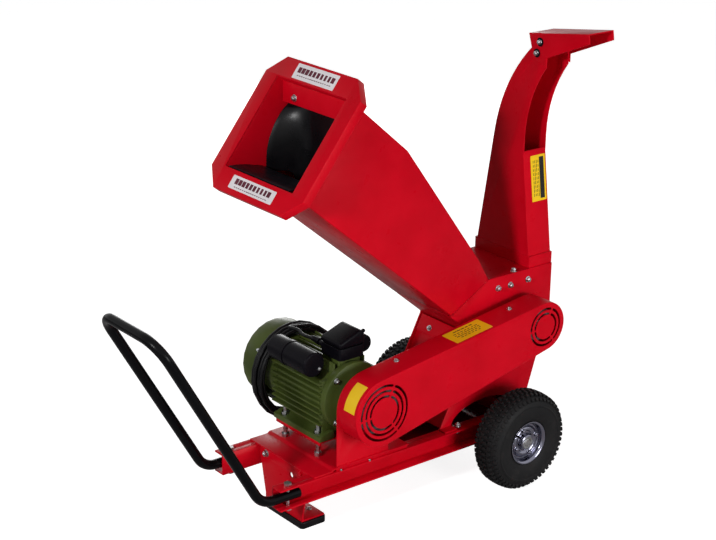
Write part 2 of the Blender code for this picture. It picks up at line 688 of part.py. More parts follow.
def make_motor():
    """Finned stator shell with feet, end bell, shaft with core, fan and fan cover."""
    axis = (MOTOR_X, MOTOR_AXIS_Z)
    shell = prism("motor_housing", finned_outline(), "Y", STATOR_FRONT_Y, FINS_BACK_Y, "motor_green")
    join(shell, block("front_flange", (MOTOR_X - FLANGE_HALF, MOTOR_X + FLANGE_HALF),
                      (STATOR_FRONT_Y - 0.01, STATOR_FRONT_Y + FLANGE_THICKNESS),
                      (MOTOR_BASE_Z + FOOT_THICKNESS - 2, MOTOR_AXIS_Z + FLANGE_TOP), "motor_green"))
    join(shell, rod("motor_rear_shell", REAR_SHELL_RADIUS, axis, FINS_BACK_Y - 10, STATOR_BACK_Y,
                    "motor_green", 28))
    motor_feet(shell)
    lug = FAN_COVER_RADIUS - FAN_COVER_WALL - 5 * GAP
    lug_y = (STATOR_BACK_Y - 5, STATOR_BACK_Y + 10)
    for tag, half_x, half_z in (("level", lug, 7), ("upright", 7, lug)):
        x = (axis[0] - half_x, axis[0] + half_x)
        z = (axis[1] - half_z, axis[1] + half_z)
        join(shell, block(f"cover_lug_{tag}", x, lug_y, z))
    join(shell, block("box_pedestal", (axis[0] - BOX_WIDTH / 2 + 5, axis[0] + BOX_WIDTH / 2 - 5),
                      (STATOR_FRONT_Y + 1, BOX_FRONT_Y + BOX_LENGTH - 4),
                      (axis[1] + STATOR_BORE + 12, box_floor()),
                      "motor_green"))
    cut(shell, rod("stator_bore", STATOR_BORE, axis, STATOR_FRONT_Y - 5, STATOR_BACK_Y - 18, "motor_green",
                   28))
    drill(shell, "rear_shaft_hole", MOTOR_SHAFT_RADIUS + RUN_FIT, "Y", axis, STATOR_BACK_Y - 30,
          STATOR_BACK_Y + 20)
    cut(shell, rod("lug_core", REAR_SHELL_RADIUS - 16, axis, STATOR_BACK_Y + 0.01, STATOR_BACK_Y + 20,
                   "motor_green", 24))
    front = STATOR_FRONT_Y - GAP
    bore = MOTOR_SHAFT_RADIUS + RUN_FIT
    bell = [(bore, BELL_NOSE_Y), (38, BELL_NOSE_Y), (42, BELL_NOSE_Y + 14), (70, front - 22),
            (BELL_RADIUS, front - 18), (BELL_RADIUS, front), (bore, front)]
    turned("motor_end_bell", bell, axis, "motor_green", 24)
    shaft_end = PULLEY_Y - PULLEY_WIDTH / 2 - 3
    fan_y = STATOR_BACK_Y + 12
    r = MOTOR_SHAFT_RADIUS
    shaft = [(r - 1.5, shaft_end), (r, shaft_end + 1.5), (r, -35), (MOTOR_CORE_RADIUS, -35),
             (MOTOR_CORE_RADIUS, 105),
             (r, 105), (r, fan_y + 30), (r - 1.5, fan_y + 31.5)]
    motor_axis = pivot("motor_axis", MOTOR_X, 0, MOTOR_AXIS_Z)
    shaft_piece = turned("motor_shaft", shaft, axis, "steel", 24, closed=False)
    fan = turned("motor_fan", [(r + GAP, fan_y), (FAN_HUB_RADIUS, fan_y), (FAN_HUB_RADIUS + 6, fan_y + 4),
                               (FAN_HUB_RADIUS, fan_y + FAN_DEPTH), (r + GAP, fan_y + FAN_DEPTH)],
                 axis, "plastic", 32)
    for k in range(FAN_BLADES):
        turn = Matrix.Translation((axis[0], 0, axis[1])) @ Matrix.Rotation(2 * math.pi * k / FAN_BLADES, 4,
                                                                           "Y")
        join(fan, block(f"fan_blade_{k}", (22, FAN_RADIUS), (fan_y + 2, fan_y + FAN_DEPTH - 2), (-1.6, 1.6),
                        "plastic", turn))
    hang_on(motor_axis, shaft_piece, fan)
    outer, wall = FAN_COVER_RADIUS, FAN_COVER_WALL
    back, start = FAN_COVER_BACK_Y, STATOR_BACK_Y + 2
    cup = [(18, back), (outer - 14, back), (outer - 4, back - 4), (outer, back - 14), (outer, start),
           (outer - wall, start), (outer - wall, back - 14), (outer - 6, back - 6), (outer - 15, back - wall),
           (18, back - wall)]
    cover = turned("fan_cover", cup, axis, "motor_green", 24)
    for ring, radius in enumerate((38.0, 66.0)):
        for k in range(3):
            low = 120 * k + 9
            slot = arc(axis, radius - 6.5, low, low + 102, 5) + arc(axis, radius + 6.5, low + 102, low, 5)
            cut(cover, prism(f"cover_slot_{ring}_{k}", slot, "Y", back - 12, back + 5))


def box_floor():
    """Height of the pedestal that the terminal box stands on."""
    return MOTOR_AXIS_Z + FIN_REACH + BOX_LIFT


def make_motor_boxes():
    """Terminal box, its arched lid, capacitor and cord gland."""
    x = (MOTOR_X - BOX_WIDTH / 2, MOTOR_X + BOX_WIDTH / 2)
    y = (BOX_FRONT_Y, BOX_FRONT_Y + BOX_LENGTH)
    floor = box_floor() + GAP
    rim = floor + BOX_HEIGHT
    box = prism("terminal_box", rounded(x, y, 8, 3), "Z", floor, rim, "plastic")
    cut(box, prism("box_hollow", rounded((x[0] + 3, x[1] - 3), (y[0] + 3, y[1] - 3), 5, 3), "Z", floor + 3,
                   rim + 5))
    hole = (x[0] + 18, floor + BOX_HEIGHT / 2)
    drill(box, "gland_hole", 8.0 + GAP, "Y", hole, y[1] - 8, y[1] + 5, 16)
    lid_low = rim + GAP
    wedge = [(x[0], lid_low), (x[1], lid_low)]
    wedge += arc((x[1] - LID_ROUND, lid_low + LID_HEIGHT - LID_ROUND), LID_ROUND, 0, 105, 6)
    wedge += [(x[0], lid_low + LID_SIDE)]
    prism("terminal_lid", wedge, "Y", y[0], y[1], "plastic")
    bore = CORD_RADIUS + CORD_FIT
    gland = [(bore, y[1] - 12), (8, y[1] - 12), (8, y[1] + GAP), (12, y[1] + GAP), (12, y[1] + 8),
             (9, y[1] + 9),
             (6.5, y[1] + 24), (bore, y[1] + 24)]
    turned("cord_gland", gland, hole, "plastic", 16)
    c = (CAPACITOR_X, CAPACITOR_Z)
    r = CAPACITOR_RADIUS
    low, high = CAPACITOR_FRONT_Y, CAPACITOR_FRONT_Y + CAPACITOR_LENGTH
    can = [(r - 3, low), (r, low + 3), (r, high - 3), (r - 3, high)]
    can_piece = turned("capacitor", can, c, "plastic", 24, closed=False)
    away = Vector((c[0] - MOTOR_X, c[1] - MOTOR_AXIS_Z))
    reach = away.length
    turn = Matrix.Translation((MOTOR_X, 0, MOTOR_AXIS_Z)) @ Matrix.Rotation(-math.atan2(away.y, away.x), 4,
                                                                            "Y")
    saddle = block("capacitor_saddle", (STATOR_RADIUS + GAP, reach), (low + 30, high - 30), (-10, 10),
                   "plastic", turn)
    join(can_piece, saddle)


def coil_point(turns):
    """Return the cord's centre after so many turns, from the top, clockwise seen from the near side."""
    per = COIL_TURNS_PER_LAYER
    total = per * COIL_LAYERS
    t = min(max(turns, 0.0), total)
    layer = min(int(t / per), COIL_LAYERS - 1)
    within = t / per - layer
    inward = 1 - within if layer % 2 == 0 else within
    radius = COIL_INNER_RADIUS + COIL_PITCH * per * inward
    climb = 0.0
    for k in range(1, COIL_LAYERS):
        share = min(max((t - k * per) / 0.5 + 0.5, 0.0), 1.0)
        climb += share * share * (3 - 2 * share)
    angle = math.radians(90) - 2 * math.pi * t
    centre_z = MOTOR_AXIS_Z - COIL_DROP
    return Vector((MOTOR_X + radius * math.cos(angle), COIL_FIRST_Y + COIL_PITCH * climb,
                   centre_z + radius * math.sin(angle)))


def coil_path():
    """Return the wound cord's points: a short straight start, the turns, and the hanging tail."""
    total = COIL_TURNS_PER_LAYER * COIL_LAYERS
    count = round(total * COIL_POINTS_PER_TURN)
    points = [coil_point(total * k / count) for k in range(count + 1)]
    straight = 2 * CORD_RADIUS
    start = points[0] - (points[1] - points[0]).normalized() * straight
    heading = (points[-1] - points[-2]).normalized()
    tail = []
    place = points[-1]
    steps = 8
    down = Vector((0, 0, -1))
    for k in range(steps):
        bent = heading.lerp(down, 0.5 * k / steps).normalized()
        place = place + bent * (CORD_TAIL - straight) / steps
        tail.append(place)
    end = place + (tail[-1] - tail[-2]).normalized() * straight
    return [start] + points + tail + [end]


def cord_curve(name, points):
    """Make a round cord along points, with closed ends."""
    curve = bpy.data.curves.new(name, "CURVE")
    curve.dimensions = "3D"
    curve.bevel_depth = CORD_RADIUS * MM
    curve.bevel_resolution = 1
    curve.use_fill_caps = True
    line = curve.splines.new("POLY")
    line.points.add(len(points) - 1)
    for slot, point in zip(line.points, points):
        slot.co = (*(Vector(point) * MM), 1)
    curve.materials.append(finish("cord"))
    made = bpy.data.objects.new(name, curve)
    bpy.context.collection.objects.link(made)
    return made


def least_gap(points, skip):
    """Return the least gap between stretches of a cord that aren't neighbours, in mm."""
    least = 1e9
    for i, a in enumerate(points):
        for j in range(i + skip, len(points) - 1):
            b, c = points[j], points[j + 1]
            along = c - b
            share = min(max((a - b).dot(along) / along.length_squared, 0.0), 1.0)
            least = min(least, (a - b - along * share).length)
    return least - 2 * CORD_RADIUS


def smooth_route(points, count):
    """Return evenly spread points on a smooth curve through the given ones."""
    knots = [Vector(p) for p in points]
    knots = [knots[0] * 2 - knots[1]] + knots + [knots[-1] * 2 - knots[-2]]
    dense = []
    for a, b, c, d in zip(knots, knots[1:], knots[2:], knots[3:]):
        for k in range(16):
            t = k / 16
            dense.append(0.5 * (2 * b + (c - a) * t + (2 * a - 5 * b + 4 * c - d) * t * t
                                + (3 * b - a - 3 * c + d) * t ** 3))
    dense.append(knots[-2])
    lengths = [0.0]
    for a, b in zip(dense, dense[1:]):
        lengths.append(lengths[-1] + (b - a).length)
    out = []
    place = 0
    for k in range(count):
        target = lengths[-1] * k / (count - 1)
        while place < len(dense) - 2 and lengths[place + 1] < target:
            place += 1
        share = (target - lengths[place]) / (lengths[place + 1] - lengths[place])
        out.append(dense[place].lerp(dense[place + 1], min(share, 1.0)))
    return out


def make_cord():
    """Lead from the gland to the winding, the winding with its tail, and the plug on the tail."""
    coil = coil_path()
    cord_curve("cord_winding", coil)
    print(f"cord_winding least gap to itself {least_gap(coil, COIL_POINTS_PER_TURN // 2):.2f} mm")
    start = coil[0] - (coil[1] - coil[0]).normalized() * GAP
    x = MOTOR_X - BOX_WIDTH / 2 + 18
    z = box_floor() + GAP + BOX_HEIGHT / 2
    y = BOX_FRONT_Y + BOX_LENGTH
    ahead = (coil[1] - coil[0]).normalized()
    route = [(x, y - 10, z), (x, y + 30, z), (x - 4, y + 54, z + 1), (x - 8, y + 82, z + 1),
             (x - 4, y + 108, start.z + 4), tuple(start - ahead * 22 + Vector((0, -5, 1.2))),
             tuple(start - ahead * 9), tuple(start)]
    cord_curve("cord_lead", smooth_route(route, 18))
    heading = (coil[-1] - coil[-2]).normalized()
    base = coil[-1] + heading * GAP
    turn = Vector((0, 1, 0)).rotation_difference(heading).to_matrix().to_4x4()
    place = Matrix.Translation(base) @ turn
    r = PLUG_RADIUS
    grip = [(CORD_RADIUS + 1.5, 0), (CORD_RADIUS + 4, 16), (r - 4, 24), (r, 34), (r, PLUG_LENGTH)]
    plug = turned("plug", grip, (0, 0), "plastic", 24, closed=False)
    for k, s in enumerate((-1, 1)):
        join(plug, rod(f"plug_pin_{k}", 2.4, (s * 9.5, 0), PLUG_LENGTH - 2, PLUG_LENGTH + PIN_LENGTH,
                       "zinc", 12))
    for item in [plug] + [m.object for m in plug.modifiers]:
        scaled = Matrix.Translation(base * MM) @ turn
        item.data.transform(scaled)


def pulley_profile(radius, bore, low, high):
    """Return the profile of a pulley with two V grooves."""
    mid = (low + high) / 2
    points = [(bore, low), (radius, low)]
    for groove in (mid - GROOVE_SPACING / 2, mid + GROOVE_SPACING / 2):
        top = BELT_HALF_TOP + 0.4
        floor = BELT_HALF_BOTTOM + 0.4 - (BELT_HALF_TOP - BELT_HALF_BOTTOM) * (GROOVE_DEPTH / BELT_HEIGHT - 1)
        points += [(radius, groove - top), (radius - GROOVE_DEPTH, groove - floor),
                   (radius - GROOVE_DEPTH, groove + floor), (radius, groove + top)]
    return points + [(radius, high), (bore, high)]


def belt_loop(offset):
    """Return points round both pulleys, offset outwards from their rims."""
    big = MOTOR_PULLEY_RADIUS + offset
    small = ROTOR_PULLEY_RADIUS + offset
    lean = math.degrees(math.acos((MOTOR_PULLEY_RADIUS - ROTOR_PULLEY_RADIUS) / DRIVE_CENTRES))
    tilt = math.degrees(DRIVE_ANGLE)
    points = arc((MOTOR_X, MOTOR_AXIS_Z), big, tilt + lean, tilt + 360 - lean, 16)
    return points + arc((ROTOR_X, ROTOR_AXIS_Z), small, tilt - lean, tilt + lean, 14)


def make_belt(name, y):
    """Make one V belt round both pulleys."""
    top, bottom = belt_loop(-0.2), belt_loop(-BELT_HEIGHT)
    bm = bmesh.new()
    rings = []
    for outer, inner in zip(top, bottom):
        rings.append([bm.verts.new((outer[0], y - BELT_HALF_TOP, outer[1])),
                      bm.verts.new((outer[0], y + BELT_HALF_TOP, outer[1])),
                      bm.verts.new((inner[0], y + BELT_HALF_BOTTOM, inner[1])),
                      bm.verts.new((inner[0], y - BELT_HALF_BOTTOM, inner[1]))])
    for k, here in enumerate(rings):
        there = rings[(k + 1) % len(rings)]
        for i in range(4):
            j = (i + 1) % 4
            bm.faces.new((here[i], here[j], there[j], there[i]))
    add_mesh(name, bm, "rubber", smooth=True)


def make_drive():
    """Pulleys and two belts."""
    low, high = PULLEY_Y - PULLEY_WIDTH / 2, PULLEY_Y + PULLEY_WIDTH / 2
    motor = turned("motor_pulley", pulley_profile(MOTOR_PULLEY_RADIUS, MOTOR_SHAFT_RADIUS + GAP, low, high),
                   (MOTOR_X, MOTOR_AXIS_Z), "cast_iron", 20)
    hang_on(bpy.data.objects["motor_axis"], motor)
    rotor = turned("rotor_pulley", pulley_profile(ROTOR_PULLEY_RADIUS, ROTOR_SHAFT_RADIUS + GAP, low, high),
                   (ROTOR_X, ROTOR_AXIS_Z), "cast_iron", 20)
    hang_on(bpy.data.objects["rotor_axis"], rotor)
    make_belt("belt_inner", PULLEY_Y + GROOVE_SPACING / 2)
    make_belt("belt_outer", PULLEY_Y - GROOVE_SPACING / 2)


def capsule(shrink):
    """Return the guard's outline round both pulleys, shrunk by a wall."""
    big, small = GUARD_BIG_RADIUS - shrink, GUARD_SMALL_RADIUS - shrink
    lean = math.degrees(math.acos((big - small) / DRIVE_CENTRES))
    tilt = math.degrees(DRIVE_ANGLE)
    points = arc((MOTOR_X, MOTOR_AXIS_Z), big, tilt + lean, tilt + 360 - lean, 20)
    return points + arc((ROTOR_X, ROTOR_AXIS_Z), small, tilt - lean, tilt + lean, 16)


def vent(target, name, centre, radii):
    """Cut rings of slots with three bridges each."""
    for ring, radius in enumerate(radii):
        gap = math.degrees(VENT_BRIDGE / radius) / 2
        for k in range(3):
            low, high = VENT_BRIDGE_ANGLE + 120 * k + gap, VENT_BRIDGE_ANGLE + 120 * (k + 1) - gap
            slot = arc(centre, radius - VENT_SLOT / 2, low, high, 5) + arc(centre, radius + VENT_SLOT / 2,
                                                                           high, low, 5)
            cut(target, prism(f"{name}_slot_{ring}_{k}", slot, "Y", GUARD_FACE_Y - 5, GUARD_FACE_Y + 8))


def make_guard():
    """Belt guard box, and the plate behind it that stands on the near rail."""
    back = GUARD_BACK_Y
    guard = prism("belt_guard", capsule(0), "Y", GUARD_FACE_Y, back - GUARD_PLATE_WALL - GAP, smooth=True)
    cut(guard, prism("guard_hollow", capsule(GUARD_WALL), "Y", GUARD_FACE_Y + GUARD_WALL, back))
    vent(guard, "big_vent", (MOTOR_X, MOTOR_AXIS_Z), BIG_VENT_RADII)
    vent(guard, "small_vent", (ROTOR_X, ROTOR_AXIS_Z), SMALL_VENT_RADII)
    plate = prism("guard_plate", capsule(0), "Y", back - GUARD_PLATE_WALL, back)
    left = MOTOR_X - GUARD_BIG_RADIUS
    base = PLATFORM_TOP + GAP
    leg = [(left, base), (left + GUARD_LEG_WIDTH, base),
           (left + GUARD_LEG_WIDTH, MOTOR_AXIS_Z), (left, MOTOR_AXIS_Z)]
    join(plate, prism("guard_leg", leg, "Y", back - GUARD_PLATE_WALL, back))
    foot = [(left, left + GUARD_LEG_WIDTH), (-RAIL_OUT + 1, back), (base, base + GUARD_PLATE_WALL)]
    join(plate, block("guard_foot", *foot))
    drill(plate, "motor_nose_hole", GUARD_NOSE_HOLE, "Y", (MOTOR_X, MOTOR_AXIS_Z), back - 10, back + 5, 32)
    drill(plate, "bearing_hole", BEARING_BOSS + 4, "Y", (ROTOR_X, ROTOR_AXIS_Z), back - 10, back + 5, 24)
    post_low = -BEARING_Y
    for k, (x, z) in enumerate(((-120.0, 372.0), (-30.0, 340.0), (ROTOR_X - 80, ROTOR_AXIS_Z + 28))):
        join(plate, rod(f"guard_post_{k}", 8, (x, z), back - 1, post_low, "red_paint", 12))


def floor_angle():
    """Return the angle, in degrees, where the housing's round wall runs out into the feed floor."""
    away = Vector(inlet_low()) - Vector((ROTOR_X, ROTOR_AXIS_Z))
    return math.degrees(math.atan2(away.y, away.x) + math.acos(HOUSING_RADIUS / away.length)) % 360


def make_housing():
    """Rotor housing: round below, with a feed opening and a discharge opening."""
    axis = (ROTOR_X, ROTOR_AXIS_Z)
    half = HOUSING_HALF
    end = floor_angle()
    outline = [(HOUSING_BACK_X, HOUSING_TOP_Z)] + arc(axis, HOUSING_RADIUS, 0, end - 360, 18)
    outline += [inlet_low(), inlet_high()]
    housing = prism("rotor_housing", outline, "Y", -half, half)
    inner = half - HOUSING_WALL
    chamber = HOUSING_RADIUS - HOUSING_WALL
    along = Vector((math.sin(math.radians(end)), -math.cos(math.radians(end))))
    low_end = Vector(arc(axis, chamber, end, end, 1)[0]) + along * 260
    room = [(HOUSING_BACK_X - HOUSING_WALL, HOUSING_TOP_Z - HOUSING_WALL)] + arc(axis, chamber, 0,
                                                                                 end - 360, 20)
    room += [tuple(low_end), (low_end.x + 60, low_end.y + 160), (inlet_high()[0] - 10, HOUSING_TOP_Z + 40),
             (inlet_high()[0] + 8, HOUSING_TOP_Z - HOUSING_WALL)]
    cut(housing, prism("housing_room", room, "Y", -inner, inner))
    cut(housing, block("discharge_opening", (CHUTE_FRONT_X + CHUTE_WALL, CHUTE_BACK_X - CHUTE_WALL),
                       (-inner, inner),
                       (HOUSING_TOP_Z - 20, HOUSING_TOP_Z + 10)))
    drill(housing, "rotor_shaft_hole", ROTOR_SHAFT_RADIUS + 5, "Y", axis, -half - 10, half + 10)
    return housing


def inlet_low():
    """Lower corner of the housing's feed opening."""
    return (-150.0, 462.0)


def inlet_high():
    """Upper corner of the housing's feed opening."""
    return (-27.0, HOUSING_TOP_Z)


def make_rotor():
    """Drum with two knives, shaft, bearings, and the fixed bed knife."""
    axis = (ROTOR_X, ROTOR_AXIS_Z)
    empty = pivot("rotor_axis", ROTOR_X, 0, ROTOR_AXIS_Z)
    bore = ROTOR_SHAFT_RADIUS + GAP
    drum = turned("rotor_drum", [(bore, -DRUM_HALF), (DRUM_RADIUS, -DRUM_HALF), (DRUM_RADIUS, DRUM_HALF),
                                 (bore, DRUM_HALF)], axis, "cast_iron", 28)
    centre = Matrix.Translation((axis[0], 0, axis[1]))
    flat = DRUM_RADIUS - 30
    edge = math.sqrt(KNIFE_TIP_RADIUS ** 2 - flat ** 2)
    seat = edge - KNIFE_DEPTH - GAP
    pieces = [drum]
    for k in range(2):
        turn = centre @ Matrix.Rotation(math.pi * k, 4, "Y")
        pocket = [(seat, flat), (KNIFE_TIP_RADIUS + 5, flat), (KNIFE_TIP_RADIUS + 5, KNIFE_TIP_RADIUS),
                  (seat + KNIFE_DEPTH - 6, KNIFE_TIP_RADIUS), (seat, flat + KNIFE_THICKNESS + 2 * GAP)]
        cut(drum, prism(f"knife_pocket_{k}", pocket, "Y", -DRUM_HALF - 5, DRUM_HALF + 5, "steel", turn))
        low = flat + GAP
        blade = [(edge - KNIFE_DEPTH, low), (edge, low), (edge - 9, low + KNIFE_THICKNESS),
                 (edge - KNIFE_DEPTH, low + KNIFE_THICKNESS)]
        pieces.append(prism(f"knife_{k + 1}", blade, "Y", -DRUM_HALF + 2, DRUM_HALF - 2, "steel", turn))
    end = PULLEY_Y - PULLEY_WIDTH / 2 - 3
    pieces.append(rod("rotor_shaft", ROTOR_SHAFT_RADIUS, axis, end, BEARING_Y + 34, "steel", 24, 1.5))
    hang_on(empty, *pieces)
    for side, s in sides():
        low, high = span(s * BEARING_Y, s * (BEARING_Y + BEARING_FLANGE))
        b = BEARING_SIZE / 2
        flange = prism(f"bearing_{side}", rounded((axis[0] - b, axis[0] + b), (axis[1] - b, axis[1] + b),
                                                  12, 3), "Y",
                       low, high, "cast_iron")
        boss_low, boss_high = span(s * (BEARING_Y + 1), s * (BEARING_Y + BEARING_FLANGE + 16))
        join(flange, rod(f"bearing_boss_{side}", BEARING_BOSS, axis, boss_low, boss_high, "cast_iron", 24))
        drill(flange, f"bearing_bore_{side}", ROTOR_SHAFT_RADIUS + RUN_FIT, "Y", axis, low - 30, high + 30,
              24)
    angle = floor_angle()
    out = Vector((math.cos(math.radians(angle)), math.sin(math.radians(angle))))
    along = Vector((math.sin(math.radians(angle)), -math.cos(math.radians(angle))))
    base = Vector(axis) + out * (HOUSING_RADIUS - HOUSING_WALL - GAP) + along * 22
    corners = [base, base + along * ANVIL_LENGTH, base + along * ANVIL_LENGTH - out * ANVIL_THICKNESS,
               base - out * ANVIL_THICKNESS]
    half = HOUSING_HALF - HOUSING_WALL - GAP
    prism("bed_knife", [tuple(c) for c in corners], "Y", -half, half, "steel")


def make_stand():
    """Two side plates with feet on the rails and an arch over the axle, and the front plate between them."""
    foot_z = RAIL_TOP + GAP
    axis = (ROTOR_X, ROTOR_AXIS_Z)
    for side, s in sides():
        low, high = span(s * HOUSING_STAND_Y, s * (HOUSING_STAND_Y + STAND_WALL))
        outline = [(STAND_FRONT_X, foot_z), (STAND_BACK_X, foot_z),
                   (HOUSING_BACK_X - STAND_WAIST_IN, STAND_WAIST_Z), (HOUSING_BACK_X - 4, STAND_SHOULDER_Z),
                   (HOUSING_BACK_X - 4, STAND_TOP_Z), (stand_front_x(THROAT_PLATE_HIGH_Z), STAND_TOP_Z),
                   (stand_front_x(THROAT_PLATE_HIGH_Z), THROAT_PLATE_HIGH_Z)]
        plate = prism(f"stand_{side}", outline, "Y", low, high)
        y = span(s * HOUSING_STAND_Y, s * (HOUSING_STAND_Y + STAND_FOOT_WIDTH))
        join(plate, block(f"stand_foot_{side}", (STAND_FRONT_X, STAND_BACK_X), y,
                          (foot_z, foot_z + STAND_WALL)))
        arch = arc((ARCH_X, foot_z), ARCH_HALF_WIDTH, 0, 180, 16, ARCH_HEIGHT / ARCH_HALF_WIDTH)
        arch = [(arch[0][0], foot_z - 10)] + arch + [(arch[-1][0], foot_z - 10)]
        cut(plate, prism(f"stand_arch_{side}", arch, "Y", low - 40, high + 40))
        drill(plate, f"stand_shaft_hole_{side}", ROTOR_SHAFT_RADIUS + 6, "Y", axis, low - 5, high + 5)
    half = HOUSING_HALF - GAP
    top_z = THROAT_PLATE_HIGH_Z - 10
    line = [(stand_front_x(top_z) + STAND_FRONT_SETBACK, top_z),
            (STAND_FRONT_X + STAND_FRONT_SETBACK, foot_z),
            (STAND_FRONT_X + STAND_FRONT_SETBACK + 30, foot_z)]
    prism("stand_front", folded(line, STAND_WALL), "Y", -half, half)
    top = Vector((stand_front_x(THROAT_PLATE_HIGH_Z), THROAT_PLATE_HIGH_Z))
    bottom = Vector((stand_front_x(THROAT_PLATE_LOW_Z), THROAT_PLATE_LOW_Z))
    down = (bottom - top).normalized()
    back = Vector((-down.y, down.x))
    lip = STAND_FRONT_SETBACK * back.x - GAP
    line = [tuple(top), tuple(bottom), tuple(bottom + back * lip)]
    prism("throat_plate", folded(line, THROAT_PLATE_WALL), "Y", -THROAT_PLATE_HALF, THROAT_PLATE_HALF)


def stand_front_x(z):
    """Return where the stand's slanted front edge is at a height."""
    return STAND_FRONT_X + STAND_FRONT_SLOPE * (z - RAIL_TOP - GAP)


def mouth_frame():
    """Return the mouth's top point, its direction down the face, and the feed direction."""
    tilt = math.radians(MOUTH_TILT)
    down = Vector((-math.sin(tilt), -math.cos(tilt)))
    feed = Vector((math.cos(tilt), -math.sin(tilt)))
    return Vector(MOUTH_TOP), down, feed


def mouth_matrix():
    """Return the matrix from (across, down, inwards) to the world."""
    top, down, feed = mouth_frame()
    return Matrix(((0, down.x, feed.x, top.x), (1, 0, 0, 0), (0, down.y, feed.y, top.y), (0, 0, 0, 1)))


def octagon(width, height, chamfer, inset=0.0):
    """Return a rectangle with cut corners, across and down, inset by a wall."""
    a, c = width / 2 - inset, chamfer - inset * 0.586
    low, high = inset, height - inset
    return [(a - c, low), (a, low + c), (a, high - c), (a - c, high), (-a + c, high), (-a, high - c),
            (-a, low + c),
            (-a + c, low)]


def hopper_sections():
    """Return each section of the feed duct as (top, bottom, half width), outside sizes."""
    top, down, feed = mouth_frame()
    start = feed * (HOPPER_WALL + GAP)
    a = top + down * (MOUTH_OPENING_TOP - HOPPER_WALL) + start
    b = top + down * (MOUTH_OPENING_TOP + MOUTH_OPENING_HEIGHT + HOPPER_WALL) + start
    half = MOUTH_OPENING_WIDTH / 2 + HOPPER_WALL
    kink = Vector(HOPPER_KINK)
    fold_top, fold_bottom = Vector(HOPPER_FOLD_TOP), Vector(HOPPER_FOLD_BOTTOM)
    along = (fold_bottom - b).normalized()
    below = b + along * (kink - b).dot(along)
    low, high = Vector(inlet_low()), Vector(inlet_high())
    edge = (high - low).normalized()
    lift = Vector((-edge.y, edge.x)) * (GAP + 0.2)
    share = (kink - a).length / (fold_top - a).length
    mid_half = half + (HOPPER_FOLD_HALF - half) * share
    return [(a, b, half), (kink, below, mid_half), (fold_top, fold_bottom, HOPPER_FOLD_HALF),
            (high + lift, low + lift, HOUSING_HALF)]


def make_hopper():
    """Feed duct, its mouth frame, and the rubber curtain on its bar."""
    bm = bmesh.new()
    sections = hopper_sections()
    outer, inner = [], []
    for top, bottom, half in sections:
        down = (bottom - top).normalized()
        t, b, h = top + down * HOPPER_WALL, bottom - down * HOPPER_WALL, half - HOPPER_WALL
        outer.append([bm.verts.new(p) for p in ((top.x, -half, top.y), (top.x, half, top.y),
                                                (bottom.x, half, bottom.y),
                                                (bottom.x, -half, bottom.y))])
        inner.append([bm.verts.new(p) for p in ((t.x, -h, t.y), (t.x, h, t.y), (b.x, h, b.y),
                                                (b.x, -h, b.y))])
    for skin in (outer, inner):
        for here, there in zip(skin, skin[1:]):
            for i in range(4):
                j = (i + 1) % 4
                bm.faces.new((here[i], here[j], there[j], there[i]))
    for end in (0, -1):
        for i in range(4):
            j = (i + 1) % 4
            bm.faces.new((outer[end][i], outer[end][j], inner[end][j], inner[end][i]))
    add_mesh("hopper", bm, "red_paint")
    place = mouth_matrix()
    w = HOPPER_WALL
    frame = prism("hopper_frame", octagon(MOUTH_WIDTH, MOUTH_HEIGHT, MOUTH_CHAMFER), "Z", 0, MOUTH_LIP,
                  "red_paint",
                  place)
    cut(frame, prism("frame_hollow", octagon(MOUTH_WIDTH, MOUTH_HEIGHT, MOUTH_CHAMFER, w), "Z", w,
                     MOUTH_LIP + 5,
                     "red_paint", place))
    half, high = MOUTH_OPENING_WIDTH / 2, MOUTH_OPENING_TOP
    opening = [(-half, high), (half, high), (half, high + MOUTH_OPENING_HEIGHT),
               (-half, high + MOUTH_OPENING_HEIGHT)]
    cut(frame, prism("mouth_opening", opening, "Z", -5, MOUTH_LIP + 5, "red_paint", place))
    make_curtain()


def make_curtain():
    """Rubber curtain that hangs in the feed duct, and the bar that holds it."""
    top, down, feed = mouth_frame()
    first, second, half = hopper_sections()[0][0], hopper_sections()[1][0], hopper_sections()[0][2]
    along = (second - first).normalized()
    normal = Vector((along.y, -along.x))
    hold = first + along * CURTAIN_INSET + normal * (HOPPER_WALL + GAP)
    width = half - HOPPER_WALL - CURTAIN_SIDE_GAP
    line = [hold + along * CURTAIN_BAR_FLANGE, hold, hold - Vector((0, CURTAIN_BAR_DROP))]
    prism("curtain_bar", folded([tuple(p) for p in line], CURTAIN_BAR_WALL), "Y", -width, width)
    half = CURTAIN_WALL / 2
    pin = (hold.x - CURTAIN_BAR_WALL / 2, hold.y - CURTAIN_BAR_DROP - half - RUN_FIT)
    low, x = pin[1] - CURTAIN_LENGTH, pin[0]
    sheet = [(x - half, low), (x + half, low), (x + half, pin[1]), (x - half, pin[1])]
    curtain = prism("curtain", sheet, "Y", -width + 2, width - 2, "rubber")
    hang_on(pivot("curtain_axis", pin[0], 0, pin[1]), curtain)


